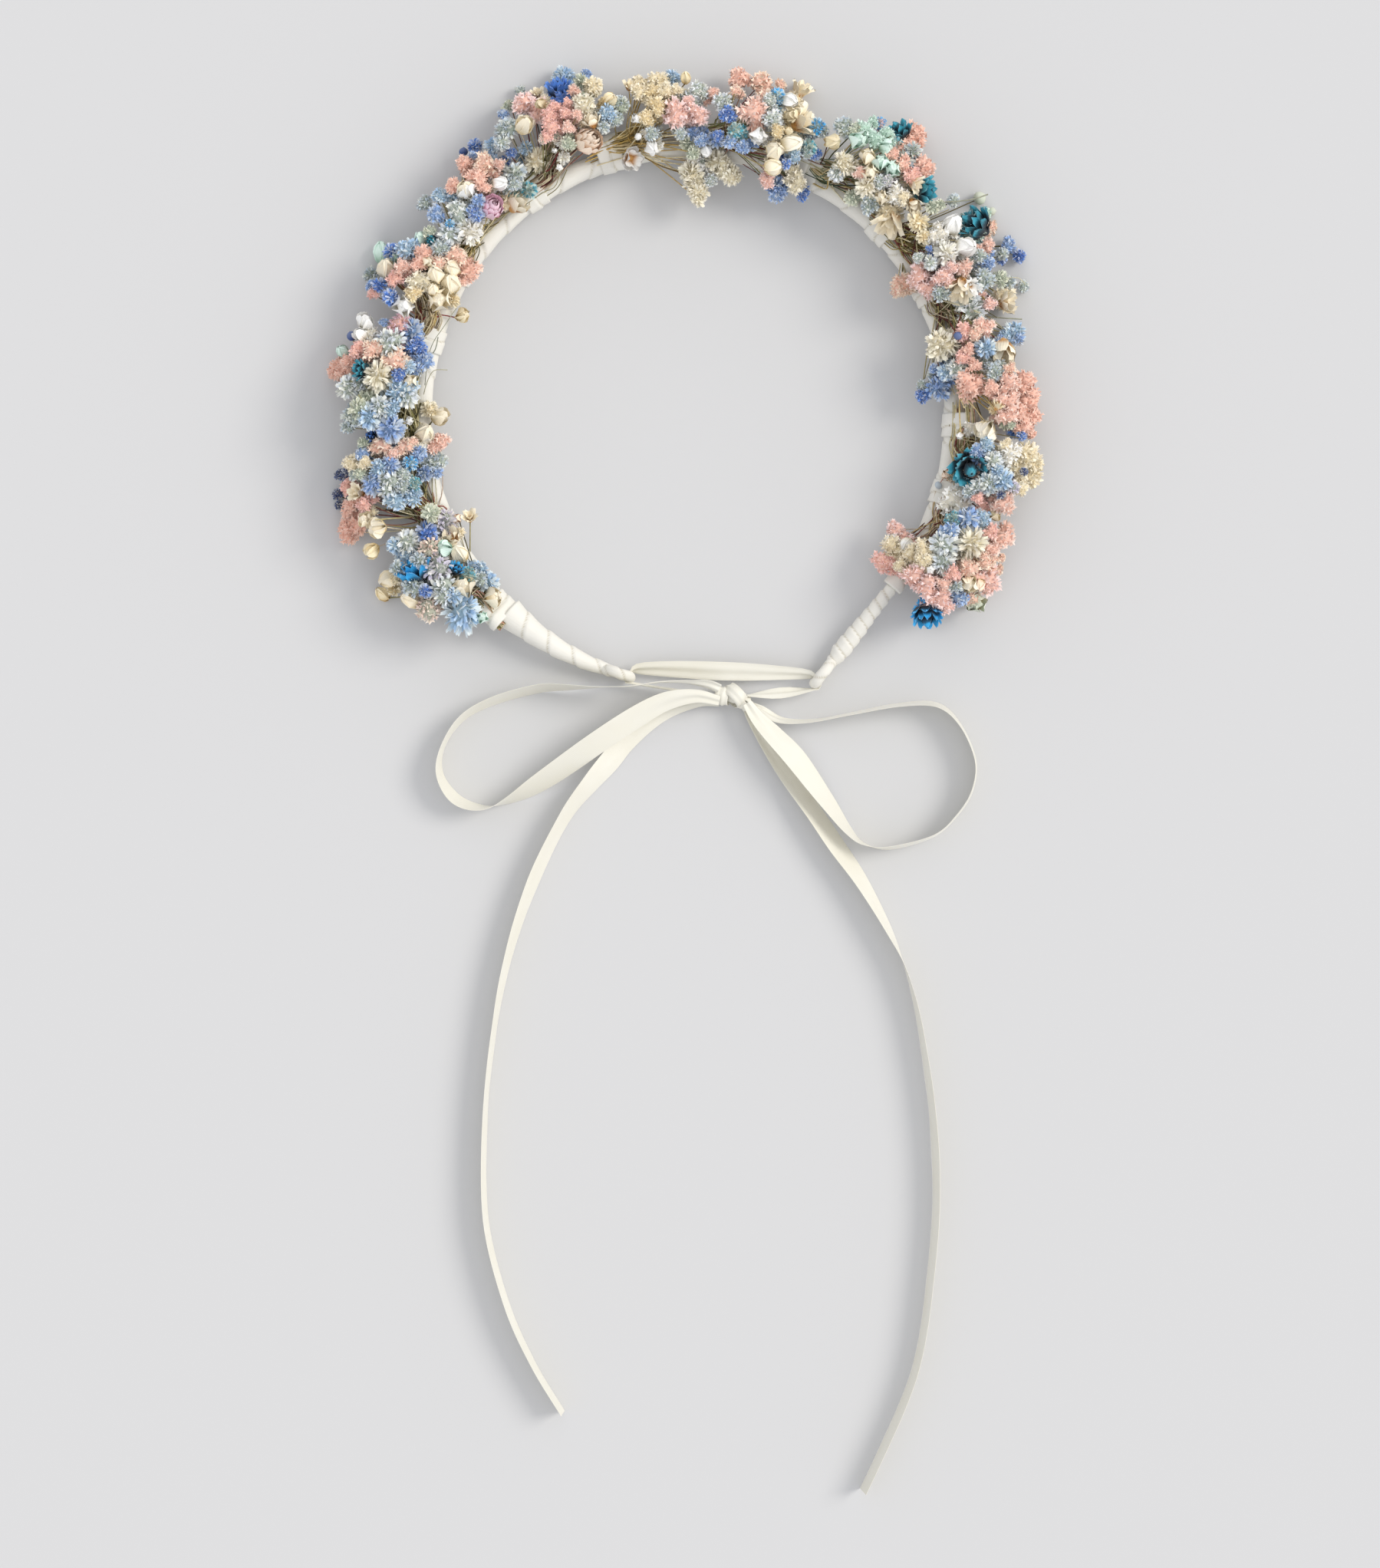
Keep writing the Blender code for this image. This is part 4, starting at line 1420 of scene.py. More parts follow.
def plantTree(material):
    # Sets a stored head on every point, sized, turned and dyed by the point's attributes
    tree, given = newTree(
        "plantHeads",
        [("Heads", "Collection"), ("Columns", "Float"), ("Wilt", "Float"), ("Seed", "Int")],
    )
    kinds = {"turn": "FLOAT_VECTOR", "variant": "INT"}
    read = {}
    for label in ("turn", "size", "variant", "column", "across", "tip"):
        kind = kinds.get(label, "FLOAT")
        read[label] = addNode(tree, "GeometryNodeInputNamedAttribute", {0: label}, data_type=kind)
    store = addNode(tree, "GeometryNodeCollectionInfo", {"Collection": given["Heads"]})
    store.inputs["Separate Children"].default_value = True
    store.inputs["Reset Children"].default_value = True
    facing = addNode(tree, "FunctionNodeEulerToRotation", {0: read["turn"]})
    uneven = addNode(
        tree,
        "FunctionNodeRandomValue",
        {0: (0.92, 0.92, 0.85), 1: (1.1, 1.1, 1.05), "Seed": given["Seed"]},
        data_type="FLOAT_VECTOR",
    )
    scaled = addNode(
        tree, "ShaderNodeVectorMath", {0: uneven, "Scale": read["size"]}, operation="SCALE"
    )
    planted = addNode(
        tree,
        "GeometryNodeInstanceOnPoints",
        {
            "Points": given["Geometry"],
            "Instance": store,
            "Pick Instance": True,
            "Instance Index": read["variant"],
            "Rotation": facing,
            "Scale": scaled,
        },
    )
    real = addNode(tree, "GeometryNodeRealizeInstances", {0: planted})
    place = addNode(tree, "GeometryNodeInputPosition")
    drift = addNode(tree, "ShaderNodeTexNoise", {"Vector": place, "Scale": 330.0, "Detail": 1.0})
    centred = addNode(
        tree,
        "ShaderNodeVectorMath",
        {0: drift.outputs["Color"], 1: (0.5, 0.5, 0.5)},
        operation="SUBTRACT",
    )
    wilted = addNode(
        tree, "ShaderNodeVectorMath", {0: centred, "Scale": given["Wilt"]}, operation="SCALE"
    )
    moved = addNode(tree, "GeometryNodeSetPosition", {"Geometry": real, "Offset": wilted})
    # One column of the baked colours for each dye, from root to tip
    inColumn = addNode(
        tree, "ShaderNodeMath", {0: read["column"], 1: read["across"]}, operation="ADD"
    )
    u = addNode(tree, "ShaderNodeMath", {0: inColumn, 1: given["Columns"]}, operation="DIVIDE")
    v = addNode(tree, "ShaderNodeMapRange", {0: read["tip"], 3: 0.01, 4: 0.99})
    pair = addNode(tree, "ShaderNodeCombineXYZ", {0: u, 1: v})
    mapped = addNode(
        tree,
        "GeometryNodeStoreNamedAttribute",
        {"Geometry": moved, "Name": "OFBake", "Value": pair},
        data_type="FLOAT2",
        domain="CORNER",
    )
    closeTree(tree, mapped, material)
    return tree


plantTrees = {"Fluff": plantTree(fluffyPetals), "Papery": plantTree(paperyPetals)}

# Fourteen bunches from the left end to the right: middle in degrees, reach inside and
# outside the band and height in mm, flower colour, and tones of the stems
bunches = (
    (214.0, 5.0, 28.0, 27.0, "blue", ("A89A62", "77713F", "B0584E")),
    (194.6, 6.0, 31.0, 28.0, "blue", ("6E6A3C", "B5A468", "8A3F3A")),
    (175.8, 5.0, 31.0, 31.0, "pale", ("B8AA72", "77713F", "8F8A55")),
    (152.4, 5.0, 28.0, 29.0, "cream", ("B39A60", "7A5A38", "B8343A")),
    (135.9, 4.0, 28.0, 28.0, "coral", ("B09A55", "76703C", "C2AE74")),
    (113.8, 3.0, 32.0, 31.0, "coral", ("7A2F2C", "6B4A30", "7D7644")),
    (95.3, 9.0, 26.0, 28.0, "cream", ("C8A95C", "B8954A", "D6C083")),
    (75.9, 11.0, 27.0, 30.0, "blue", ("7B8348", "B5A468", "7A2F2C")),
    (52.5, 4.0, 33.0, 31.0, "pale", ("3F5A44", "6F7440", "A88B3C", "7A2F2C")),
    (32.3, 6.0, 31.0, 30.0, "coral", ("7A2F2C", "8E8246", "A8934E")),
    (16.8, 11.0, 27.0, 28.0, "blue", ("7A3A30", "77713F", "9A8E58")),
    (2.7, 5.0, 30.0, 29.0, "coral", ("CDB268", "BFA25A", "D9C68C")),
    (-10.3, 4.0, 31.0, 30.0, "pale", ("B8AA72", "B0584E", "9C9260")),
    (-28.5, 7.0, 28.0, 30.0, "blue", ("8A5A44", "B39A60", "7A4038")),
)
# Every head of the crown, laid out by bunch as (x, y, diameter) in mm; a fourth
# number lays the head over to face that way, in degrees
headTable = {
    1: [
        ("puff", "sky", [(-79, -68.8, 12.4), (-101.9, -45.7, 5.7), (-70.1, -58.1, 7.2),
            (-72.8, -53.8, 5.5), (-81.6, -62.9, 5.3)]),
        ("cup", "turquoise", [(-95, -54.3, 10, 120), (-80.7, -53.3, 4.5, 60)]),
        ("puff", "royal", [(-90.9, -41.1, 7.2), (-91.6, -61.4, 4.3)]),
        ("puff", "mist", [(-97.8, -44.2, 7.2), (-85.4, -60.9, 8.8)]),
        ("puff", "lilac", [(-87.6, -52.8, 8.4), (-84.2, -36.4, 6.4)]),
        ("puff", "salmon", [(-90.4, -46.6, 6.2)]),
        ("bud", "mint", [(-84.7, -46.4, 5), (-71.6, -70.5, 3.6)]),
        ("bud", "cream", [(-79.7, -48.5, 5.3), (-78.3, -60, 6.9), (-68.2, -63.6, 5.5),
            (-96.4, -64.5, 5.3), (-104.5, -57.1, 5.3)]),
        ("paper", "cream", [(-82.6, -42.1, 6.2), (-76.1, -35.6, 4.3)]),
        ("bud", "peach", [(-80.7, -36.1, 3.1)]),
        ("puff", "dusty", [(-90.7, -67.6, 8.1)]),
        ("puff", "slate", [(-95.7, -59.7, 6.7), (-101.2, -53.3, 5.5), (-72.5, -57.4, 4.8),
            (-93.5, -50.9, 5.7)]),
        ("bud", "straw", [(-106.4, -62.4, 4.3)]),
        ("puff", "teal", [(-76.8, -55.7, 4.5)]),
    ],
    2: [
        ("curd", "peach", [(-106.9, -10.3, 7.9), (-99.3, -11.3, 5.7), (-96.4, -9.6, 4.3)]),
        ("curd", "salmon", [(-103.1, -13.7, 4.5), (-86.4, -9.1, 5.7)]),
        ("puff", "sky", [(-107.9, -18.4, 5.5), (-102.1, -29.9, 7.2), (-95.9, -28.5, 6.2)]),
        ("puff", "cornflower", [(-103.8, -17.3, 5.7), (-94, -13.7, 6), (-87.8, -19.9, 4.5),
            (-109.8, -23.9, 7.2), (-113.6, -13.2, 5.3), (-103.1, -6.3, 7.2)]),
        ("puff", "turquoise", [(-96.9, -16.8, 4.5)]),
        ("puff", "slate", [(-87.6, -15.8, 7.2), (-99.3, -20.8, 5.3), (-99.3, -24.9, 4.5),
            (-116.5, -20.8, 4.3)]),
        ("bud", "white", [(-91.6, -7, 5.3)]),
        ("curd", "cream", [(-117.2, -16.8, 6), (-112.6, -16.8, 4.8)]),
        ("puff", "sage", [(-114.1, -20.6, 4.5), (-113.1, -9.9, 3.8), (-89.7, -34.2, 5.7)]),
        ("puff", "mist", [(-104.3, -24.2, 7.9)]),
        ("puff", "teal", [(-95.5, -24.2, 4.3)]),
        ("curd", "rose", [(-118.6, -25.1, 5), (-113.1, -31.1, 4.8)]),
        ("paper", "cream", [(-115.5, -27, 5.3)]),
        ("curd", "coral", [(-118.1, -31.8, 6.2), (-117.9, -39.9, 8.4)]),
        ("bud", "cream", [(-108.3, -39.5, 6.2), (-112.6, -36.8, 4.5)]),
        ("bud", "straw", [(-110.3, -47.1, 4.8)]),
        ("puff", "navy", [(-121.5, -20.8, 3.2), (-122, -27.5, 3.8), (-121.6, -31.3, 3.0)]),
        ("cup", "royal", [(-110.7, -7.5, 4.1, 150)]),
    ],
    3: [
        ("bud", "white", [(-112.7, 32.3, 5.5), (-114.4, 28, 4.5), (-97.2, -2, 2.4)]),
        ("curd", "hotpink", [(-100.6, 32, 6.2)]),
        ("puff", "cornflower", [(-96, 28.9, 7.9), (-92.2, 18.9, 6.2), (-106.1, 32.3, 3.3),
            (-103.7, -4.7, 8.2)]),
        ("puff", "royal", [(-94.6, 24.1, 5.7), (-100.8, 14.1, 4.3)]),
        ("puff", "mist", [(-104.1, 25.1, 9.1), (-118.5, 9.8, 7.6), (-98.2, 6.9, 7.5),
            (-107.1, 2.8, 7.5)]),
        ("curd", "peach", [(-109.9, 22.7, 6.2), (-101.8, 18.9, 8.4)]),
        ("curd", "rose", [(-115.1, 22.7, 6)]),
        ("curd", "coral", [(-118.5, 18.9, 4.5), (-122.5, 16.3, 6.7)]),
        ("cup", "teal", [(-114.6, 16, 5.3, 170)]),
        ("puff", "ivory", [(-108, 13.6, 9.3)]),
        ("puff", "sky", [(-100.8, 8.9, 7.9), (-97.5, 16.7, 4.5), (-103.7, 2.1, 5.8),
            (-111.2, -0.6, 7.5), (-96.8, 9.6, 5.5)]),
        ("bud", "cream", [(-97, 11.7, 4.8), (-86.6, -0.6, 5.5), (-92.1, -6.1, 5.5)]),
        ("berry", "navy", [(-117.3, 27.5, 2.9)]),
        ("bud", "mint", [(-120.4, 22.2, 3.8)]),
        ("puff", "slate", [(-116.6, -0.6, 7.8), (-118.7, -4, 4.8)]),
        ("puff", "sage", [(-114.6, 2.1, 6.1)]),
    ],
    4: [
        ("bud", "mint", [(-107, 56.6, 5.3)]),
        ("puff", "royal", [(-103.2, 56.6, 5.7), (-107.5, 45.1, 4.8), (-103.4, 40.9, 5.7)]),
        ("puff", "sky", [(-97.7, 58, 6.7)]),
        ("bud", "cream", [(-105.3, 50.9, 5.7), (-87.9, 49, 5.7), (-82.2, 50.9, 5.3),
            (-82.7, 46.1, 6.2), (-87, 40.4, 6.7), (-88.9, 43.7, 3.6), (-90.8, 53.3, 3.3)]),
        ("curd", "salmon", [(-99.4, 51.4, 5.3), (-77.9, 47.1, 4.8)]),
        ("curd", "rose", [(-102.2, 47.5, 5.3), (-109.4, 42.3, 4.3)]),
        ("puff", "slate", [(-110.6, 49, 5.3), (-86.5, 58, 5.3)]),
        ("curd", "coral", [(-92, 56.1, 5.7), (-94.1, 52.5, 5.3), (-76, 50.9, 7.2)]),
        ("curd", "peach", [(-87, 52.8, 5.5), (-81.2, 55.7, 6.7)]),
        ("curd", "ivory", [(-93.6, 46.6, 7.6)]),
        ("bud", "white", [(-99.1, 38, 6.2)]),
        ("bud", "straw", [(-78.8, 34.6, 4.5)]),
        ("curd", "straw", [(-95.6, 42.5, 5)]),
        ("puff", "cornflower", [(-110.4, 45.1, 3.8)]),
    ],
    5: [
        ("puff", "sky", [(-86.5, 76.7, 5.7), (-67.9, 94, 5.3), (-56.4, 93.1, 4.4)]),
        ("puff", "slate", [(-91.7, 73.8, 4.8), (-60.3, 84.3, 6.7), (-60.8, 80.3, 4)]),
        ("puff", "cornflower", [(-87.9, 70, 6.2), (-73.1, 74.8, 4.3), (-84.6, 59, 3.3),
            (-75, 90.5, 3.1), (-74.1, 71, 5.8)]),
        ("puff", "mist", [(-79.8, 70.5, 8.6), (-83.1, 63.3, 7.2)]),
        ("puff", "white", [(-76, 64, 8.1)]),
        ("puff", "royal", [(-73.8, 70, 5.3), (-74.3, 93.8, 4.4), (-61.7, 91.4, 3.5)]),
        ("ball", "hotpink", [(-68.3, 72.4, 6.9)]),
        ("bud", "white", [(-76.9, 78.1, 5.7), (-65.7, 80.7, 4.7)]),
        ("curd", "coral", [(-81.7, 79.8, 5.3), (-77.6, 87.8, 5.8), (-73.6, 82.5, 6.7),
            (-71, 79.4, 4)]),
        ("paper", "cream", [(-58.8, 73.8, 7.2, 40)]),
        ("puff", "sage", [(-90.3, 63.8, 4.8)]),
        ("bud", "mint", [(-93.2, 61.4, 4.3)]),
        ("puff", "turquoise", [(-83.1, 66.6, 2.9)]),
        ("cup", "teal", [(-89.3, 60.9, 3.6, 200)]),
        ("curd", "peach", [(-71, 87.8, 6.9)]),
        ("berry", "navy", [(-78.3, 91.8, 2.4)]),
        ("curd", "dusty", [(-65.7, 87.4, 4)]),
        ("puff", "cream", [(-52.8, 88.7, 7.5)]),
        ("puff", "teal", [(-55.5, 78.5, 5.3)]),
        ("bud", "cream", [(-77.2, 78.9, 4.9)]),
    ],
    6: [
        ("puff", "sky", [(-43.3, 118, 6.7), (-28, 105.1, 4.9)]),
        ("cup", "royal", [(-45.3, 114, 7.1, 100)]),
        ("puff", "sage", [(-37.3, 116.2, 4.9), (-62.6, 107.8, 4.9), (-41.7, 94.5, 4)]),
        ("puff", "cornflower", [(-35.7, 118.9, 3.5), (-64.3, 104.7, 4.2)]),
        ("puff", "cream", [(-32.9, 114.9, 5.8)]),
        ("puff", "ivory", [(-36, 108.2, 8)]),
        ("curd", "rose", [(-42.2, 109.1, 2.9), (-48.4, 103.8, 5.3), (-47.9, 100.2, 4.9),
            (-46.6, 107.3, 4), (-42.6, 105.1, 3.8), (-49.3, 96.7, 4)]),
        ("curd", "dusty", [(-39.9, 113.1, 4)]),
        ("curd", "pink", [(-56.8, 108.7, 7.8)]),
        ("paper", "cream", [(-52.4, 112.2, 3.8), (-33.7, 102.9, 5.8, 110)]),
        ("bud", "straw", [(-51.5, 108.4, 3.1), (-27.5, 110, 4.2)]),
        ("curd", "salmon", [(-38.6, 104.7, 3.5), (-41.7, 100.2, 3.8)]),
        ("ball", "peach", [(-34.6, 95.6, 7.8)]),
        ("bud", "cream", [(-57.2, 101.1, 5.8)]),
        ("puff", "slate", [(-63, 99.8, 6.7), (-58.6, 113.1, 4), (-24.9, 103.3, 5.3),
            (-29.3, 100.2, 4), (-23.5, 108.7, 4.9), (-64.8, 94.9, 4.9)]),
        ("bud", "white", [(-46.6, 92.2, 1.8), (-44.8, 86.3, 2.2)]),
        ("puff", "dusty", [(-50.1, 96.2, 3.8)]),
    ],
    7: [
        ("curd", "cream", [(-17, 115.7, 5.3), (-10.3, 116.4, 7.2), (-17, 112.4, 5.3),
            (-7.4, 112.6, 5.7), (-4.1, 113.3, 3.8)]),
        ("curd", "straw", [(-12.2, 112.6, 5.3), (-10.8, 107.6, 6.2), (-14.6, 103.5, 4.8)]),
        ("puff", "sky", [(-5.5, 117.6, 5.3)]),
        ("bud", "straw", [(-1, 117.4, 3.3)]),
        ("puff", "mist", [(4, 112.9, 6.7), (7.9, 81.8, 4.3)]),
        ("curd", "pink", [(-4.1, 105.2, 8.6), (3.8, 104.7, 6.4), (0.2, 109.5, 4.1)]),
        ("curd", "salmon", [(9.1, 111.9, 4.1)]),
        ("bud", "white", [(-17.8, 103.3, 3.3), (-17.4, 96.9, 2.1), (-12.7, 93, 4.8),
            (6.2, 92.1, 3.8)]),
        ("paper", "white", [(-19.3, 89.2, 6.7), (4.5, 85.6, 5.3, 250)]),
        ("puff", "slate", [(-12.7, 98.1, 4.3), (-2.6, 98.1, 3.1)]),
        ("puff", "cornflower", [(5, 95.7, 4.8), (9.8, 96.1, 5.3)]),
        ("puff", "sage", [(1.7, 91.4, 4.3), (-23.6, 107.6, 4.8)]),
        ("puff", "ivory", [(3.6, 77, 7.2), (15.5, 83.3, 7.6)]),
        ("paper", "cream", [(-20.3, 114.8, 3.8)]),
    ],
    8: [
        ("curd", "coral", [(17.9, 117.4, 7.2)]),
        ("curd", "peach", [(25.5, 116.2, 7.2), (16.9, 112.4, 4.8), (32.2, 114.8, 4.3)]),
        ("curd", "salmon", [(22.4, 105.7, 8.6)]),
        ("puff", "mist", [(12.2, 109, 6.2), (28.4, 109.5, 5.3), (29.4, 103.3, 5.7)]),
        ("puff", "royal", [(13.8, 104.7, 5.3), (10.7, 97.3, 3.8), (39.9, 77.3, 4.8),
            (34.1, 87.5, 3.3), (44.5, 90.9, 4.8)]),
        ("puff", "turquoise", [(30.8, 110.9, 5.3), (45, 100.4, 5.3)]),
        ("bud", "white", [(35.3, 109.5, 4.8), (24.3, 97.3, 5)]),
        ("paper", "cream", [(39.4, 113.3, 6.2, 60), (40.3, 102.3, 8.1, 20)]),
        ("paper", "straw", [(36.5, 104.3, 4.8, 180)]),
        ("puff", "teal", [(16.5, 99, 5.3), (42.2, 93.3, 4.8)]),
        ("puff", "cornflower", [(18.9, 93.3, 4.3), (14.6, 95.2, 4.3), (31.3, 77.5, 7.2)]),
        ("curd", "straw", [(31.3, 99, 4.8)]),
        ("bud", "straw", [(35.1, 99, 2.6)]),
        ("bud", "ivory", [(36, 94.5, 6.2)]),
        ("curd", "ivory", [(37.9, 80.9, 6.7)]),
        ("bud", "cream", [(30.3, 91.8, 5.7), (29.6, 86.6, 5.3)]),
        ("curd", "pink", [(27.7, 81.8, 5.3)]),
        ("puff", "sky", [(37, 90.4, 5.3)]),
        ("puff", "slate", [(46.9, 99, 4.3), (41.7, 91.8, 5.3)]),
    ],
    9: [
        ("puff", "slate", [(54.6, 100.4, 7.4), (78.4, 91.4, 6.2), (63.4, 73.7, 6.2)]),
        ("puff", "sage", [(58.4, 99, 5.3), (57.4, 75.8, 5.3)]),
        ("curd", "mint", [(61.2, 100, 4.8), (64.6, 102.1, 3.8), (65.1, 96.1, 5.3),
            (69.4, 98.1, 5)]),
        ("curd", "turquoise", [(67.2, 101.9, 3.3)]),
        ("bud", "mint", [(68.9, 93.3, 4.3), (59.3, 95.7, 5.7), (67, 88, 4.8), (71.3, 86.1, 5.3)]),
        ("cup", "teal", [(73.2, 99, 7.2, 120), (83.2, 78, 7.2, 0)]),
        ("curd", "coral", [(78.9, 97.3, 8.4), (82.3, 86.6, 7.2), (75.1, 87.5, 5.3),
            (71.3, 90.7, 4.3)]),
        ("curd", "rose", [(78, 83.3, 5.7)]),
        ("bud", "straw", [(50.3, 95.2, 5.3)]),
        ("bud", "cream", [(62.7, 89.9, 4.8), (63.4, 84.4, 5.3), (67.5, 75.6, 4.3)]),
        ("puff", "ivory", [(54.6, 87.5, 7.2), (62.7, 79.4, 6.9)]),
        ("puff", "mist", [(51.9, 84.2, 5.3), (67, 81.3, 4.3)]),
        ("curd", "dusty", [(59.8, 84.2, 3.8)]),
        ("curd", "white", [(72.7, 77, 6.7)]),
        ("curd", "cream", [(74.9, 75.6, 4.3)]),
        ("paper", "cream", [(79.4, 80.4, 4.8, 330), (78.9, 72.7, 5.3, 290), (70.3, 67, 8.6, 250)]),
        ("puff", "lilac", [(69.8, 81.8, 3.8)]),
    ],
    10: [
        ("puff", "straw", [(80.2, 67.2, 6.2), (82.5, 62, 4.8)]),
        ("puff", "sage", [(85.4, 72.5, 4.3), (87.8, 73.2, 3.3), (108.8, 47.6, 4.8)]),
        ("puff", "slate", [(92.6, 74.8, 4.3), (102.1, 55.3, 4.8), (109.3, 56.2, 4.1),
            (103.1, 47.2, 6.2), (116.9, 44.8, 4.1), (88.3, 42.4, 5.3)]),
        ("berry", "sage", [(101.6, 75.6, 3.6), (105.9, 71, 2.4)]),
        ("bud", "white", [(92.1, 66.3, 6.2), (96.6, 58.6, 6.2)]),
        ("curd", "white", [(86.8, 62.9, 7.2)]),
        ("cup", "teal", [(99.6, 66.6, 9.4, 150)]),
        ("curd", "mint", [(103.6, 70.1, 4.3), (102.1, 64.8, 3.8)]),
        ("curd", "peach", [(105.7, 65.3, 4.5), (73.9, 44.8, 7.2)]),
        ("curd", "salmon", [(104.5, 59.1, 4.8)]),
        ("puff", "white", [(90.2, 56, 7.2)]),
        ("puff", "mist", [(84.5, 53.1, 4.8), (80.2, 54.8, 3.8), (98.8, 36.2, 9.1)]),
        ("puff", "royal", [(84, 58.1, 2.4), (115.5, 55.3, 4.1)]),
        ("curd", "dusty", [(96.4, 51.5, 5.3)]),
        ("curd", "pink", [(80.6, 48.6, 7.9), (83.5, 44.3, 6.9), (89.2, 48.1, 6.9),
            (92.1, 51.5, 3.8), (105, 38.8, 4.3)]),
        ("puff", "cornflower", [(104.5, 52.9, 4.3), (111.7, 59.1, 5.3)]),
        ("paper", "cream", [(94.5, 43.8, 8.1, 250), (111.7, 39.5, 7.2, 0)]),
        ("paper", "white", [(98.8, 44.8, 4.8)]),
    ],
    11: [
        ("curd", "salmon", [(103.1, 30.4, 6.9)]),
        ("curd", "rose", [(95.9, 29, 5.5), (95.4, 19.9, 4.3)]),
        ("curd", "peach", [(100.2, 28.5, 5.3)]),
        ("berry", "navy", [(94, 27.6, 2.4)]),
        ("puff", "ivory", [(88.3, 24.2, 9.1)]),
        ("curd", "coral", [(97.8, 22.8, 4.3)]),
        ("puff", "sky", [(103.6, 23.3, 6.7), (114.1, 28.5, 6.4), (89.9, 14.7, 5.3)]),
        ("paper", "cream", [(109.8, 21.8, 8.1, 270)]),
        ("puff", "slate", [(105.5, 16.1, 5), (81.8, 10.4, 4.3), (108, 16.6, 4.8)]),
        ("puff", "mist", [(93.7, 16.1, 6.2)]),
        ("puff", "cornflower", [(87.5, 9.4, 7.6), (85.6, 16.1, 3.1), (114.7, 26.6, 4.3)]),
        ("puff", "royal", [(81.8, 6.6, 4.8)]),
    ],
    12: [
        ("curd", "coral", [(98, 10.9, 8.8), (99.9, 17.6, 4.3), (105.7, 9.4, 4.8),
            (117.1, 11.8, 6.7), (119, 5.6, 7.2), (120, -1.1, 6.2), (117.1, -4.4, 5.7),
            (119.5, -6.8, 3.1), (115.2, 0.8, 5.3)]),
        ("curd", "salmon", [(111.4, 10.9, 7.2), (111.4, 5.1, 7.2), (111.9, -0.1, 7.6)]),
        ("puff", "slate", [(107.1, 14.7, 5.3)]),
        ("curd", "peach", [(111.9, 16.1, 4.5)]),
        ("paper", "straw", [(107.9, 3.3, 3.3, 60)]),
        ("bud", "ivory", [(103.7, -5.8, 6.7)]),
        ("bud", "white", [(94.7, -7.3, 2.6)]),
        ("puff", "royal", [(116.2, -7.3, 3.1)]),
        ("puff", "sage", [(112.8, -3.5, 2.4)]),
    ],
    13: [
        ("cup", "teal", [(98.5, -18.7, 10.5)]),
        ("puff", "sky", [(103.7, -10.6, 6.2), (109.5, -22.6, 6.7), (107.6, -19.2, 4.3)]),
        ("puff", "cornflower", [(100.9, -12.5, 5)]),
        ("puff", "mist", [(106.6, -15.9, 6), (100.9, -24.9, 4.8)]),
        ("curd", "white", [(111.9, -13.5, 6.9)]),
        ("curd", "cream", [(110.9, -10.6, 4.3)]),
        ("puff", "cream", [(118.1, -13.5, 7.2), (120.9, -16.8, 5.7), (120.2, -21.6, 6.7),
            (116.2, -25.9, 4.8)]),
        ("puff", "slate", [(104.7, -24, 6.7), (98, -26.9, 4.3)]),
        ("puff", "lilac", [(113.3, -25.4, 4.3)]),
        ("puff", "navy", [(109, -27.8, 3.2), (117.1, -19.7, 2.8)]),
        ("berry", "slate", [(87.3, -24.5, 2.1)]),
        ("curd", "dusty", [(110, -31.1, 7.2)]),
        ("bud", "peach", [(89.9, -20.6, 2.9)]),
        ("curd", "rose", [(100.9, -29, 3.8)]),
    ],
    14: [
        ("curd", "white", [(93, -30.1, 9.8)]),
        ("curd", "rose", [(102.6, -32, 5.3), (105.5, -40.6, 4.8), (92.1, -55.4, 5.3),
            (67.7, -51.6, 6.7)]),
        ("bud", "straw", [(106.7, -34.9, 3.8)]),
        ("puff", "cornflower", [(97.8, -36.3, 7.2), (90.7, -41.1, 7.2), (94.5, -64, 6.4)]),
        ("puff", "sky", [(102.6, -36.3, 6.2)]),
        ("puff", "teal", [(92.1, -36.3, 4.8)]),
        ("puff", "mist", [(89.2, -45.4, 8.6), (88.8, -50.9, 8.1)]),
        ("puff", "ivory", [(98.8, -44.4, 9.3)]),
        ("curd", "salmon", [(109.8, -42.5, 8.8), (105.5, -46.8, 5.3), (89.2, -59.2, 4.8)]),
        ("curd", "peach", [(109, -49.9, 3.1), (103.1, -50.6, 5.3), (97.8, -53.5, 6.4),
            (107.8, -54, 4.1)]),
        ("curd", "pink", [(104.5, -57.8, 8.4), (79.2, -55.9, 7.9), (83.5, -59.7, 7.9),
            (87.8, -64, 7.9), (90.2, -66.9, 4.8), (72, -40.1, 5.7)]),
        ("bud", "cream", [(97.8, -58.7, 5.3)]),
        ("bud", "peach", [(101.6, -59.2, 3.6)]),
        ("puff", "slate", [(93, -59.7, 5)]),
        ("bud", "sage", [(100.2, -65.4, 6)]),
        ("cup", "turquoise", [(83.3, -70.2, 7.9, 270)]),
        ("curd", "cream", [(71.1, -45.4, 6.7), (70.6, -50.2, 5.3), (77.8, -48.2, 5.7),
            (82.1, -46.8, 6.2), (82.5, -51.1, 5.7), (73.9, -52.5, 4.3)]),
        ("bud", "white", [(76.1, -44.9, 3.6), (84.5, -54, 2.9), (71.1, -43.5, 4.3)]),
    ],
}
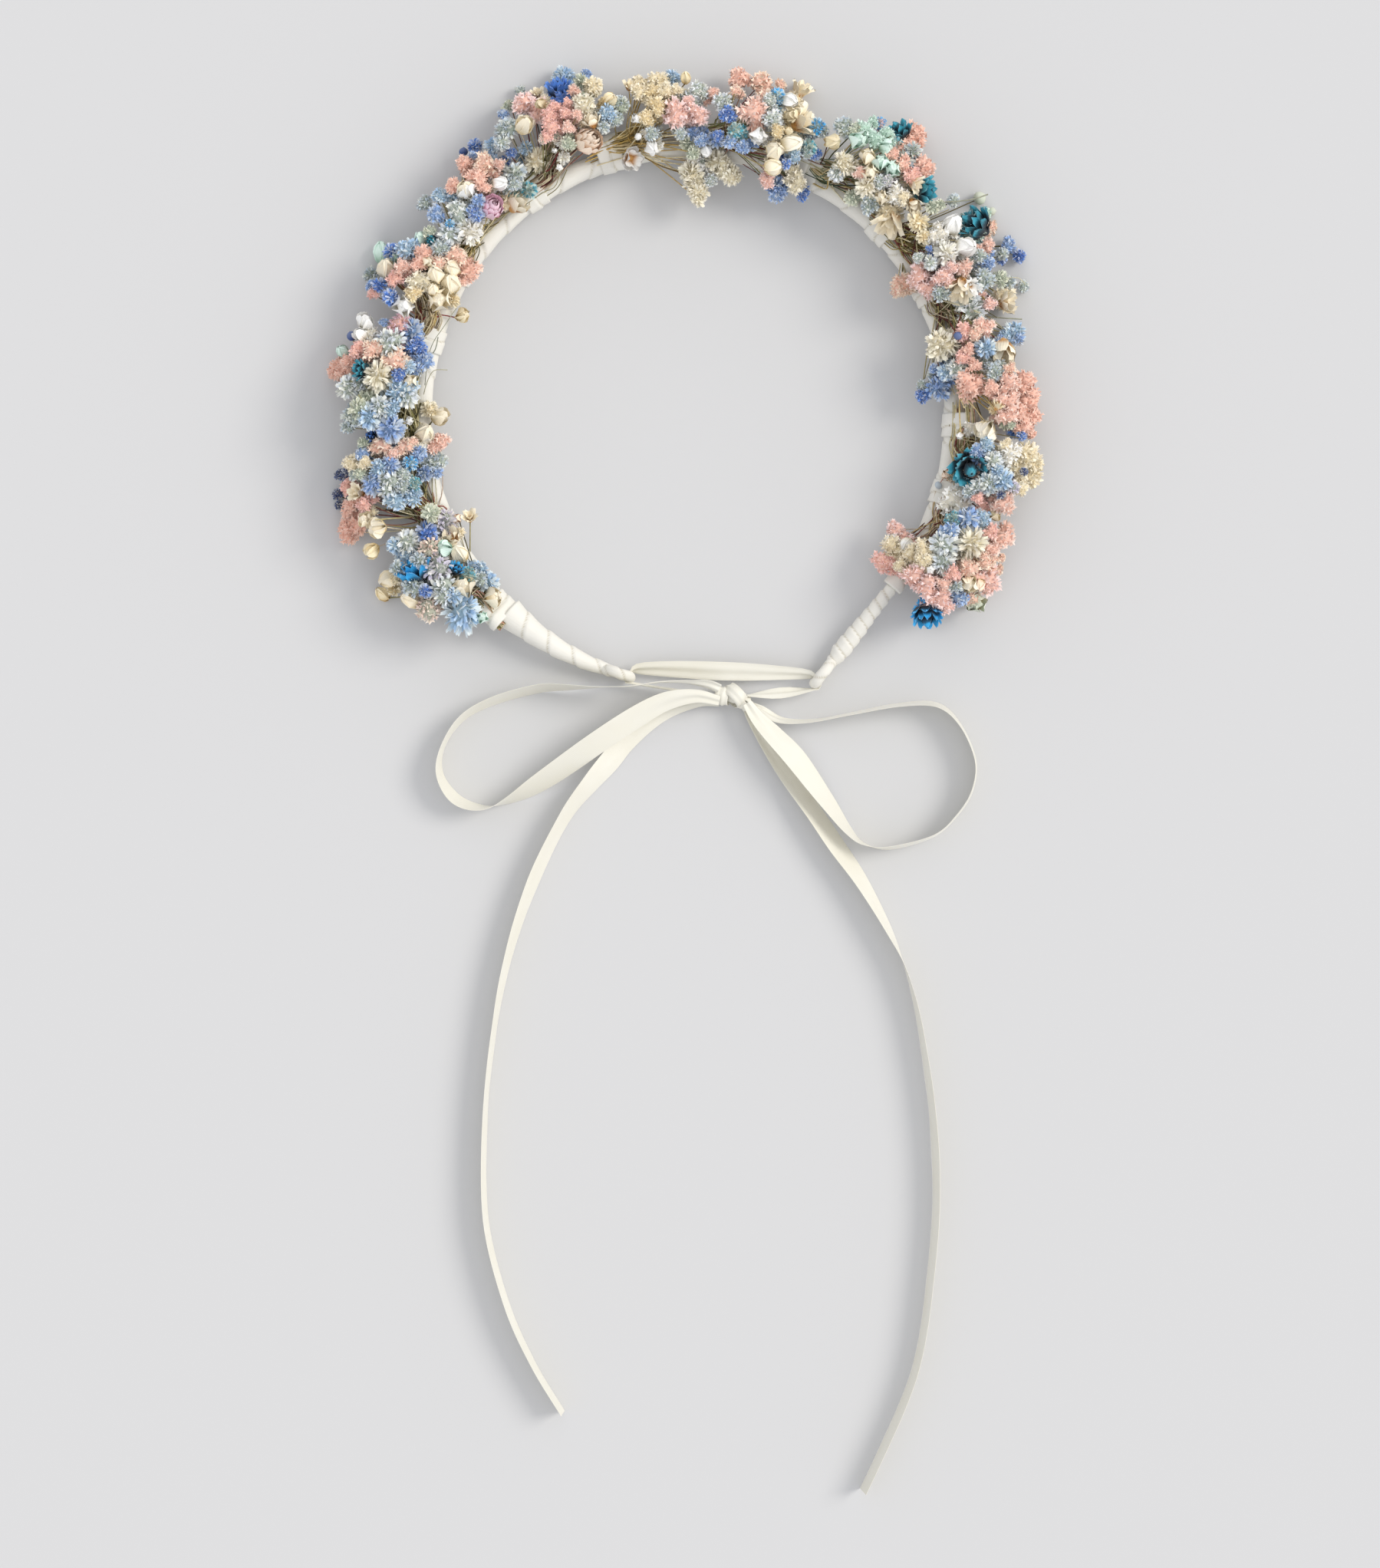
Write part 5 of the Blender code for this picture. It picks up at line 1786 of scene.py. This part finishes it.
layout = {
    "faceUp": 0.45,
    "lieOver": 68.0,  # degrees from upright
    "swell": 1.4,  # soft petals reach out past the head they make
    "paperySwell": 1.28,
    "wilt": 0.9 * mm,
    "paperyWilt": 0.6,  # share of that
    "halfBunch": 13.0,  # degrees from a bunch's middle to its ends
    "overBand": (7.0, 12.3),  # nearer than this to the band a head clears this height, mm
    "loose": {"bud": 0.55},  # how far a head strays from facing outwards
    "looseOther": 0.15,
    "packedBehind": 5.0,  # degrees; nothing is packed below heads farther back
    "packedPull": (0.12, 0.4),  # share of the way in to the bunch's middle
    "packedLower": (3.5, 7.0),  # mm below the head
    "packedDeeper": (10.0, 14.0),  # the same, once more below wide heads
    "wideHead": 5.5,
    "packedSmallest": 4.5,
    "seed": 21,
}
cameraHeight = scene.camera.location.z


def turnFrom(angle, x, y):
    # How far a place lies round from an angle, in degrees either way
    return (math.degrees(math.atan2(y, x)) - angle + 180) % 360 - 180


def domeHeight(bunch, out, turn):
    # How high a bunch stands at a place: out from the band, in mm, and along it
    _, inside, outside, height = bunch[:4]
    share = min(abs(out - (outside - inside) / 2) / ((outside + inside) / 2), 1.0)
    along = min(abs(turn) / layout["halfBunch"], 1.0)
    return height * (1 - share**2.6) ** (1 / 2.2) * (1 - 0.3 * along**2.5)


def stemsEnd(index):
    angle = bunches[index][0]
    if index == 0:
        return angle + band["stemRun"]
    return min(angle + band["stemRun"], bunches[index - 1][0] - band["stemSpacing"])


def placeHead(index, kind, dye, x, y, diameter, towards, luck, lower=0.0):
    # Where a head sits, how it turns and which shape it takes
    bunch = bunches[index]
    radius = diameter / 2
    out = math.hypot(x, y) - band["ringRadius"] / mm
    turn = turnFrom(bunch[0], x, y)
    near, clear = layout["overBand"]
    rest = clear + 0.35 * radius if out < near else 1.45 * radius
    z = max(domeHeight(bunch, out, turn) - 0.9 * radius - lower, rest)
    # Carried up the line of sight from the level that the table was laid out on
    level = (z * mm - studio["flowerHeight"]) / cameraHeight
    centreX, centreY = (c / mm for c in studio["centre"])
    place = Vector((x + (centreX - x) * level, y + (centreY - y) * level, z)) * mm
    root = bandPoint(bunch[0] + 9.0, band["stemOut"], band["stemUp"])
    if towards is None:
        facing = (place - root).normalized() * (1 - layout["faceUp"])
        facing.z += layout["faceUp"]
        loose = layout["loose"].get(kind, layout["looseOther"])
        facing += Vector([luck.uniform(-loose, loose) for _ in range(3)])
    else:
        lean, heading = math.radians(layout["lieOver"]), math.radians(towards)
        facing = Vector(
            (math.cos(heading) * math.sin(lean), math.sin(heading) * math.sin(lean), math.cos(lean))
        )
    facing.normalize()
    spin = Euler((0.0, 0.0, luck.uniform(0, 2 * math.pi))).to_quaternion()
    turned = (facing.to_track_quat("Z", "Y") @ spin).to_euler()
    shapes = [i for i, name in enumerate(headKinds) if name.startswith(kind)]
    return {
        "place": place,
        "facing": facing,
        "turn": turned,
        "size": diameter * mm * layout["swell" if kind in fluffyKinds else "paperySwell"],
        "variant": luck.choice(shapes),
        "kind": kind,
        "dye": dye,
    }


def bunchHeads(index, luck):
    # The heads from the table, with others packed below them towards the band
    found = []
    bunch = bunches[index]
    middle = (band["ringRadius"] / mm + (bunch[2] - bunch[1]) / 2) * outwardAt(bunch[0] - 3.0)
    for kind, dye, places in headTable[index + 1]:
        for x, y, diameter, *towards in places:
            found.append(
                placeHead(index, kind, dye, x, y, diameter, towards[0] if towards else None, luck)
            )
            below = kind if kind in fluffyKinds else luck.choice(fluffyKinds)
            turn = turnFrom(bunch[0], x, y)
            if kind == "berry" or turn > layout["packedBehind"]:
                continue
            share = luck.uniform(*layout["packedPull"])
            levels = [(luck.uniform(*layout["packedLower"]), share)]
            if diameter > layout["wideHead"]:
                levels.append((luck.uniform(*layout["packedDeeper"]), share * 0.6))
            for lower, pull in levels:
                found.append(
                    placeHead(
                        index,
                        below,
                        dye,
                        x + (middle.x - x) * pull,
                        y + (middle.y - y) * pull,
                        max(diameter, layout["packedSmallest"]) * luck.uniform(0.9, 1.1),
                        None,
                        luck,
                        lower,
                    ),
                )
    return found


def rootTone(kind, dye):
    if kind in fluffyKinds or kind == "bud":
        return dyeRoots.get(dye, rootTones[kind])
    return rootTones[kind]


def plantHeads(index, heads, soft):
    name = f"bunch{index + 1:02d}" + ("Fluff" if soft else "Papery")
    chosen = [h for h in heads if (h["kind"] in fluffyKinds) == soft]
    mesh = bpy.data.meshes.new(name)
    mesh.from_pydata([h["place"] for h in chosen], [], [])
    columns = sorted({(h["kind"], h["dye"]) for h in chosen})
    rows = {
        "turn": ("FLOAT_VECTOR", "vector", [v for h in chosen for v in h["turn"]]),
        "size": ("FLOAT", "value", [h["size"] for h in chosen]),
        "variant": ("INT", "value", [h["variant"] for h in chosen]),
        "column": ("FLOAT", "value", [float(columns.index((h["kind"], h["dye"]))) for h in chosen]),
        "dye": ("FLOAT_COLOR", "color", [v for h in chosen for v in linearColour(dyes[h["dye"]])]),
        "root": (
            "FLOAT_COLOR",
            "color",
            [v for h in chosen for v in linearColour(rootTone(h["kind"], h["dye"]))],
        ),
    }
    for label, (kind, field, values) in rows.items():
        mesh.attributes.new(label, kind, "POINT").data.foreach_set(field, values)
    made = placeMesh(name, mesh)
    tree = plantTrees["Fluff" if soft else "Papery"]
    values = {"Heads": headStore, "Columns": float(len(columns)), "Seed": layout["seed"] + index}
    values["Wilt"] = layout["wilt"] * (1.0 if soft else layout["paperyWilt"])
    runTree(made, tree, values)
    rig.slot(made, "petals_" + bunches[index][4])
    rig.replaces(made, f"bunch_{index + 1:02d}_blooms")
    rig.ride(made, "crown")
    return len(made.data.polygons)


stems = {
    "thickness": (0.3, 0.55),  # mm
    "sides": 5,
    "grasses": 18,  # loose stalks without a head, for each bunch
    "strays": 5,  # stalks that miss the bundle and lie along the tape
    "over": (0, 6, 5, 5, 4, 6, 8, 4, 8, 12, 12, 6, 20, 16),  # laid over each binding
    "pastTie": 1.2,  # degrees that the fan closes beyond its binding's near edge
    "light": (-0.55, 0.0, 0.2, 0.5, 0.75),  # darker below nought, bleached to straw above
    "straw": "E9DFBE",
    "dark": "17130E",
    "twig": "6B7468",
    "sway": 1.6 * mm,
    "cutBack": 1.0,  # degrees from a bundle's end to its binding
}
# Thin twigs that stand clear of the flowers, as places in mm
twigs = (
    (2, (-91.9, 6.8, 14), (-90.7, 10.9, 15), (-88.3, 15.0, 15), (-83.7, 15.4, 13)),
    (
        3,
        (-91.5, 10.0, 14),
        (-90.3, 19.1, 16),
        (-88.3, 24.8, 17),
        (-85.0, 29.7, 17),
        (-80.5, 36.7, 15),
    ),
    (3, (-90.3, 19.1, 16), (-87.8, 22.0, 17), (-86.8, 26.5, 16)),
    (9, (74.9, 70.8, 17), (86.6, 72.1, 24), (96.9, 72.8, 26), (103.5, 74.9, 25)),
    (10, (102.0, 41.6, 16), (107.1, 45.7, 18), (114.3, 47.3, 15), (117.3, 45.2, 12)),
    (11, (104.0, 34.0, 14), (109.0, 33.2, 16), (116.0, 32.9, 15)),
)


def driedStalks():
    # Dry stalks: matt, each its own tone, with long faint streaks
    made, tree, shader = newMaterial("flower stalks, cut and air-dried")
    tone = addNode(tree, "ShaderNodeAttribute", attribute_name="dye").outputs["Color"]
    place = addNode(tree, "ShaderNodeTexCoord").outputs["Object"]
    streaks = addNode(tree, "ShaderNodeTexNoise", {"Vector": place, "Scale": 700.0, "Detail": 2.0})
    light = addNode(tree, "ShaderNodeMapRange", {0: streaks, 1: 0.3, 2: 0.7, 3: 0.78, 4: 1.2})
    varied = addNode(tree, "ShaderNodeHueSaturation", {"Color": tone, "Value": light})
    tree.links.new(varied.outputs[0], shader.inputs["Base Color"])
    shader.inputs["Roughness"].default_value = 0.75
    return made


def stalkTree(material):
    # Gives every polyline of the mesh a round section of its own thickness
    tree, given = newTree("roundStalks", [("Sides", "Int"), ("Columns", "Float")])
    curve = addNode(tree, "GeometryNodeMeshToCurve", {0: given["Geometry"]})
    thick = addNode(tree, "GeometryNodeInputNamedAttribute", {0: "thick"}, data_type="FLOAT")
    ring = addNode(
        tree, "GeometryNodeCurvePrimitiveCircle", {"Resolution": given["Sides"], "Radius": 1.0}
    )
    factor = tree.nodes.new("GeometryNodeSplineParameter").outputs["Factor"]
    marked = addNode(
        tree,
        "GeometryNodeStoreNamedAttribute",
        {"Geometry": curve, "Name": "tip", "Value": factor},
        data_type="FLOAT",
    )
    tube = addNode(
        tree,
        "GeometryNodeCurveToMesh",
        {"Curve": marked, "Profile Curve": ring, "Scale": thick, "Fill Caps": True},
    )
    column = addNode(tree, "GeometryNodeInputNamedAttribute", {0: "column"}, data_type="FLOAT")
    tip = addNode(tree, "GeometryNodeInputNamedAttribute", {0: "tip"}, data_type="FLOAT")
    u = addNode(tree, "ShaderNodeMath", {0: column, 1: given["Columns"]}, operation="DIVIDE")
    pair = addNode(tree, "ShaderNodeCombineXYZ", {0: u, 1: tip})
    mapped = addNode(
        tree,
        "GeometryNodeStoreNamedAttribute",
        {"Geometry": tube, "Name": "OFBake", "Value": pair},
        data_type="FLOAT2",
        domain="CORNER",
    )
    closeTree(tree, mapped, material)
    return tree


stalks = driedStalks()
roundStalks = stalkTree(stalks)


def plantStems(index, heads, luck):
    # From under each head into the bundle on the band, through the binding
    bunch = bunches[index]
    tones = bunch[5]
    end = stemsEnd(index)
    last = end - stems["cutBack"]
    tied = last - band["bindingAngle"] / 2
    lines = []
    targets = [(h["place"] - h["facing"] * h["size"] * 0.4, h["facing"]) for h in heads]
    for _ in range(stems["grasses"]):
        out = luck.uniform(-1.5, bunch[2] * 0.8) * mm
        up = luck.uniform(2, 18) * mm
        targets.append((bandPoint(bunch[0] + luck.uniform(-2, 6), out, up), Vector((0, 0, 1))))
    for start, facing in targets:
        spread, lift = luck.uniform(-2.4, 1.7) * mm, luck.uniform(-1.5, 1.6) * mm
        if spread * spread + lift * lift > (1.75 * mm) ** 2:
            spread, lift = spread * 0.7, lift * 0.7
        out, up = band["stemOut"] + spread, band["stemUp"] + lift
        # Where the fan closes, never behind the head it comes from
        behind = (tied - math.degrees(math.atan2(start.y, start.x)) + 180) % 360 - 180
        closing = tied - min(4.5, max(behind, 0.0) / 2)
        near = bandPoint(closing, out - 0.8 * mm + 1.3 * spread, up + 1.8 * mm + 0.8 * lift)
        throat = bandPoint(tied + stems["pastTie"], out, up)
        cut = bandPoint(end - luck.uniform(0.0, 0.8), out, up)
        sway = Vector([luck.uniform(-1, 1) * stems["sway"] for _ in range(3)])
        bend = start.lerp(near, 0.55) + sway
        bend.z = max(bend.z - 1.5 * mm, 3 * mm)
        lines.append(([start, bend, near, throat, cut], luck.choice(tones)))
    for _ in range(stems["strays"]):
        over = luck.uniform(-2.6, 1.6) * mm
        top = math.sqrt((band["tapeRadius"] + 0.2 * mm) ** 2 - over * over)
        lines.append(
            (
                [
                    bandPoint(bunch[0] + luck.uniform(2, 7), luck.uniform(0, 8) * mm, 11 * mm),
                    bandPoint(tied - 5.5, over + luck.uniform(0, 3) * mm, top + 2.5 * mm),
                    bandPoint(tied - 2.0, over, top + 0.3 * mm),
                    bandPoint(tied + 2.0, over, top),
                ],
                luck.choice(tones[-2:]),
            ),
        )
    for _ in range(stems["over"][index]):
        out = luck.uniform(-0.2, 1.35) * band["stemOut"]
        rise = smoothStep(min(max(out / band["stemOut"], 0.0), 1.0))
        crest = band["stemUp"] + 2.4 * mm
        top = band["tapeRadius"] + 0.8 * mm + rise * (crest - band["tapeRadius"])
        low = min(bunch[0] + luck.uniform(1, 6), last - luck.uniform(11, 14))
        wide = bandPoint(low, luck.uniform(0, 14) * mm, 14 * mm)
        lines.append(
            (
                [
                    wide,
                    bandPoint(last - 8.0, 1.5 * out, top + 2.5 * mm),
                    bandPoint(last - 4.5, 1.1 * out, top + 0.3 * mm),
                    bandPoint(last - 0.5, out, top),
                    bandPoint(last + luck.uniform(0.8, 3.0), 0.9 * out, top),
                ],
                luck.choice(tones),
            ),
        )
    for owner, *places in twigs:
        if owner == index:
            lines.append(([Vector(p) * mm for p in places], stems["twig"]))
    name = f"bunch{index + 1:02d}Stems"
    places, edges, thick, column, dye = [], [], [], [], []
    for points, tone in lines:
        width = luck.uniform(*stems["thickness"])
        light = luck.choice(stems["light"]) + luck.uniform(-0.1, 0.1)
        aim = linearColour(stems["straw" if light > 0 else "dark"])
        mixed = Vector(linearColour(tone)[:3]).lerp(Vector(aim[:3]), abs(light))
        rows = spline([tuple(p) for p in points], 4)
        for i, row in enumerate(rows):
            if i:
                edges.append((len(places) - 1, len(places)))
            places.append(row)
            thick.append(width * mm / 2)
            column.append(tones.index(tone) + 0.5 if tone in tones else 0.5)
            dye.extend((*mixed, 1.0))
    mesh = bpy.data.meshes.new(name)
    mesh.from_pydata(places, edges, [])
    mesh.attributes.new("thick", "FLOAT", "POINT").data.foreach_set("value", thick)
    mesh.attributes.new("column", "FLOAT", "POINT").data.foreach_set("value", column)
    mesh.attributes.new("dye", "FLOAT_COLOR", "POINT").data.foreach_set("color", dye)
    made = placeMesh(name, mesh)
    runTree(made, roundStalks, {"Sides": stems["sides"], "Columns": float(len(tones))})
    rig.slot(made, "dried_stems")
    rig.replaces(made, f"bunch_{index + 1:02d}_stems")
    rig.ride(made, "crown")
    return len(made.data.polygons)


def buildBinding(index):
    circles = (
        (0.0, 0.0, band["tapeRadius"] + 0.5 * mm),
        (band["stemOut"], band["stemUp"], band["stemBundle"] + 0.7 * mm),
    )
    last = stemsEnd(index) - stems["cutBack"]
    made = tapeSleeve(
        f"bunch{index + 1:02d}Binding",
        anglesBetween(last - band["bindingAngle"], last),
        lambda a: hullOutline(circles, 36),
        tape["bindingPitch"],
    )
    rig.replaces(made, f"bunch_{index + 1:02d}_binding")


for index in range(len(bunches)):
    luck = random.Random(layout["seed"] + index)
    heads = bunchHeads(index, luck)
    soft = plantHeads(index, heads, True)
    papery = plantHeads(index, heads, False)
    thin = plantStems(index, heads, luck)
    buildBinding(index)
    print("bunch", index + 1, "has", len(heads), "heads,", soft + papery + thin, "faces")

low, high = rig.bounds()
with open("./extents.json", "w") as kept:
    boxes = {"cad": [list(cadLow), list(cadHigh)], "visual": [list(low), list(high)]}
    json.dump(boxes, kept)
print("all pieces placed")
